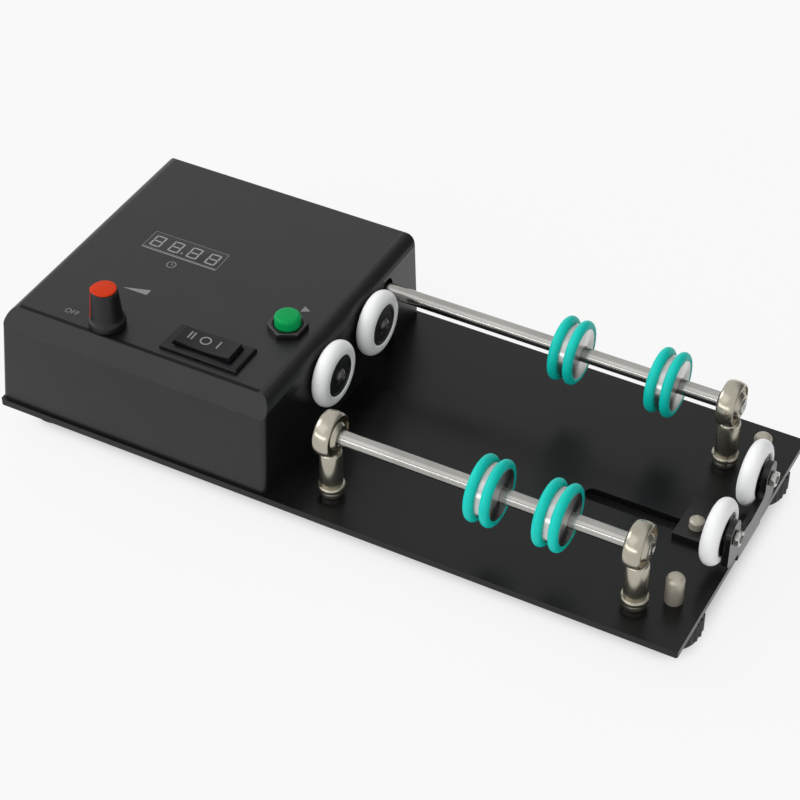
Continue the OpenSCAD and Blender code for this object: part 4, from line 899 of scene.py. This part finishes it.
def floor_finish():
    """Pale floor: white to the camera and in mirrors. Under the object its colour is painted dark,
    a painted shadow added to the object's own shadow.
    """
    finish = new_finish("pale_floor", (0.88, 0.88, 0.88), 0.8, specular=0.1)
    tree = finish.node_tree
    skin = skin_of(finish)
    box_half = (cad_bounds[1][0] - SHADE_INSET_X, cad_bounds[1][1] - SHADE_INSET_Y, 0)
    place = add_node(tree, "TexCoord")
    fold = add_node(tree, "VectorMath", operation="ABSOLUTE")
    past = add_node(tree, "VectorMath", {1: box_half}, "SUBTRACT")
    outside = add_node(tree, "VectorMath", operation="MAXIMUM")
    reach = add_node(tree, "VectorMath", operation="LENGTH")
    clear = add_node(tree, "MapRange", {"From Max": SHADE_FADE, "To Max": FLOOR_SHARE})
    clear.interpolation_type = "SMOOTHSTEP"
    # painted shadow: the floor's colour runs from dark inside the object's box to pale past it
    shade = add_node(tree, "MapRange", {"To Min": FLOOR_PAINTED_SHADOW, "To Max": FLOOR_PALE})
    glow = add_node(tree, "Emission", {"Color": FLOOR_WHITE})
    path = add_node(tree, "LightPath")
    mirror = add_node(tree, "Math", operation="MAXIMUM")
    seen = add_node(tree, "Math", operation="MAXIMUM")
    share = add_node(tree, "Math", operation="MULTIPLY")
    mix = add_node(tree, "MixShader")
    tree.links.new(place.outputs["Object"], fold.inputs[0])
    tree.links.new(fold.outputs["Vector"], past.inputs[0])
    tree.links.new(past.outputs["Vector"], outside.inputs[0])
    tree.links.new(outside.outputs["Vector"], reach.inputs[0])
    tree.links.new(reach.outputs["Value"], clear.inputs["Value"])
    tree.links.new(clear.outputs["Result"], shade.inputs["Value"])
    tree.links.new(shade.outputs["Result"], skin.inputs["Base Color"])
    tree.links.new(path.outputs["Is Glossy Ray"], mirror.inputs[0])
    tree.links.new(path.outputs["Is Transmission Ray"], mirror.inputs[1])
    tree.links.new(path.outputs["Is Camera Ray"], seen.inputs[0])
    tree.links.new(mirror.outputs["Value"], seen.inputs[1])
    tree.links.new(seen.outputs["Value"], share.inputs[0])
    tree.links.new(clear.outputs["Result"], share.inputs[1])
    tree.links.new(share.outputs["Value"], mix.inputs["Fac"])
    tree.links.new(skin.outputs["BSDF"], mix.inputs[1])
    tree.links.new(glow.outputs["Emission"], mix.inputs[2])
    tree.links.new(mix.outputs["Shader"], tree.nodes["Material Output"].inputs["Surface"])
    return finish


def floor():
    shape = bmesh.new()
    bmesh.ops.create_grid(shape, x_segments=1, y_segments=1, size=FLOOR_REACH)
    mesh = bpy.data.meshes.new("floor")
    shape.to_mesh(mesh)
    shape.free()
    mesh.materials.append(floor_finish())
    ground = bpy.data.objects.new("floor", mesh)
    bpy.context.scene.collection.objects.link(ground)


def soft_lamp(name, place, size, energy):
    lamp = bpy.data.lights.new(name, "AREA")
    lamp.shape = "RECTANGLE"
    lamp.size, lamp.size_y = size
    lamp.energy = energy
    holder = bpy.data.objects.new(name, lamp)
    holder.location = place
    toward = Vector(LAMP_AIM) - Vector(place)
    holder.rotation_euler = toward.to_track_quat("-Z", "Y").to_euler()
    bpy.context.scene.collection.objects.link(holder)


def studio():
    """Pale surroundings, dark at the rear right, with lamps on the left and in front."""
    world = bpy.data.worlds.new("studio")
    bpy.context.scene.world = world
    world.use_nodes = True
    tree = world.node_tree
    sky = tree.nodes["Background"]
    sky.inputs["Color"].default_value = (1, 1, 1, 1)
    place = add_node(tree, "TexCoord")
    rear_right = add_node(tree, "VectorMath", {1: (0.707, 0.707, 0)}, "DOT_PRODUCT")
    dim = add_node(tree, "MapRange", {"From Min": 0.35, "From Max": 0.85,
                                      "To Min": SKY_BRIGHT, "To Max": SKY_DIM})
    dim.interpolation_type = "SMOOTHSTEP"
    tree.links.new(place.outputs["Generated"], rear_right.inputs[0])
    tree.links.new(rear_right.outputs["Value"], dim.inputs["Value"])
    tree.links.new(dim.outputs["Result"], sky.inputs["Strength"])
    for name, (spot, size, energy) in LAMPS.items():
        soft_lamp(name, spot, size, energy)
    floor()


def viewpoint():
    lens = bpy.data.cameras.new("viewpoint")
    lens.sensor_width = 36
    lens.lens = 103.1
    lens.clip_end = 20
    eye = bpy.data.objects.new("viewpoint", lens)
    eye.location = EYE_PLACE
    eye.rotation_euler = (math.radians(90 - EYE_HEIGHT), 0, math.radians(EYE_AZIMUTH))
    bpy.context.scene.collection.objects.link(eye)
    bpy.context.scene.camera = eye


studio()
viewpoint()
bpy.context.scene.view_settings.view_transform = "Standard"
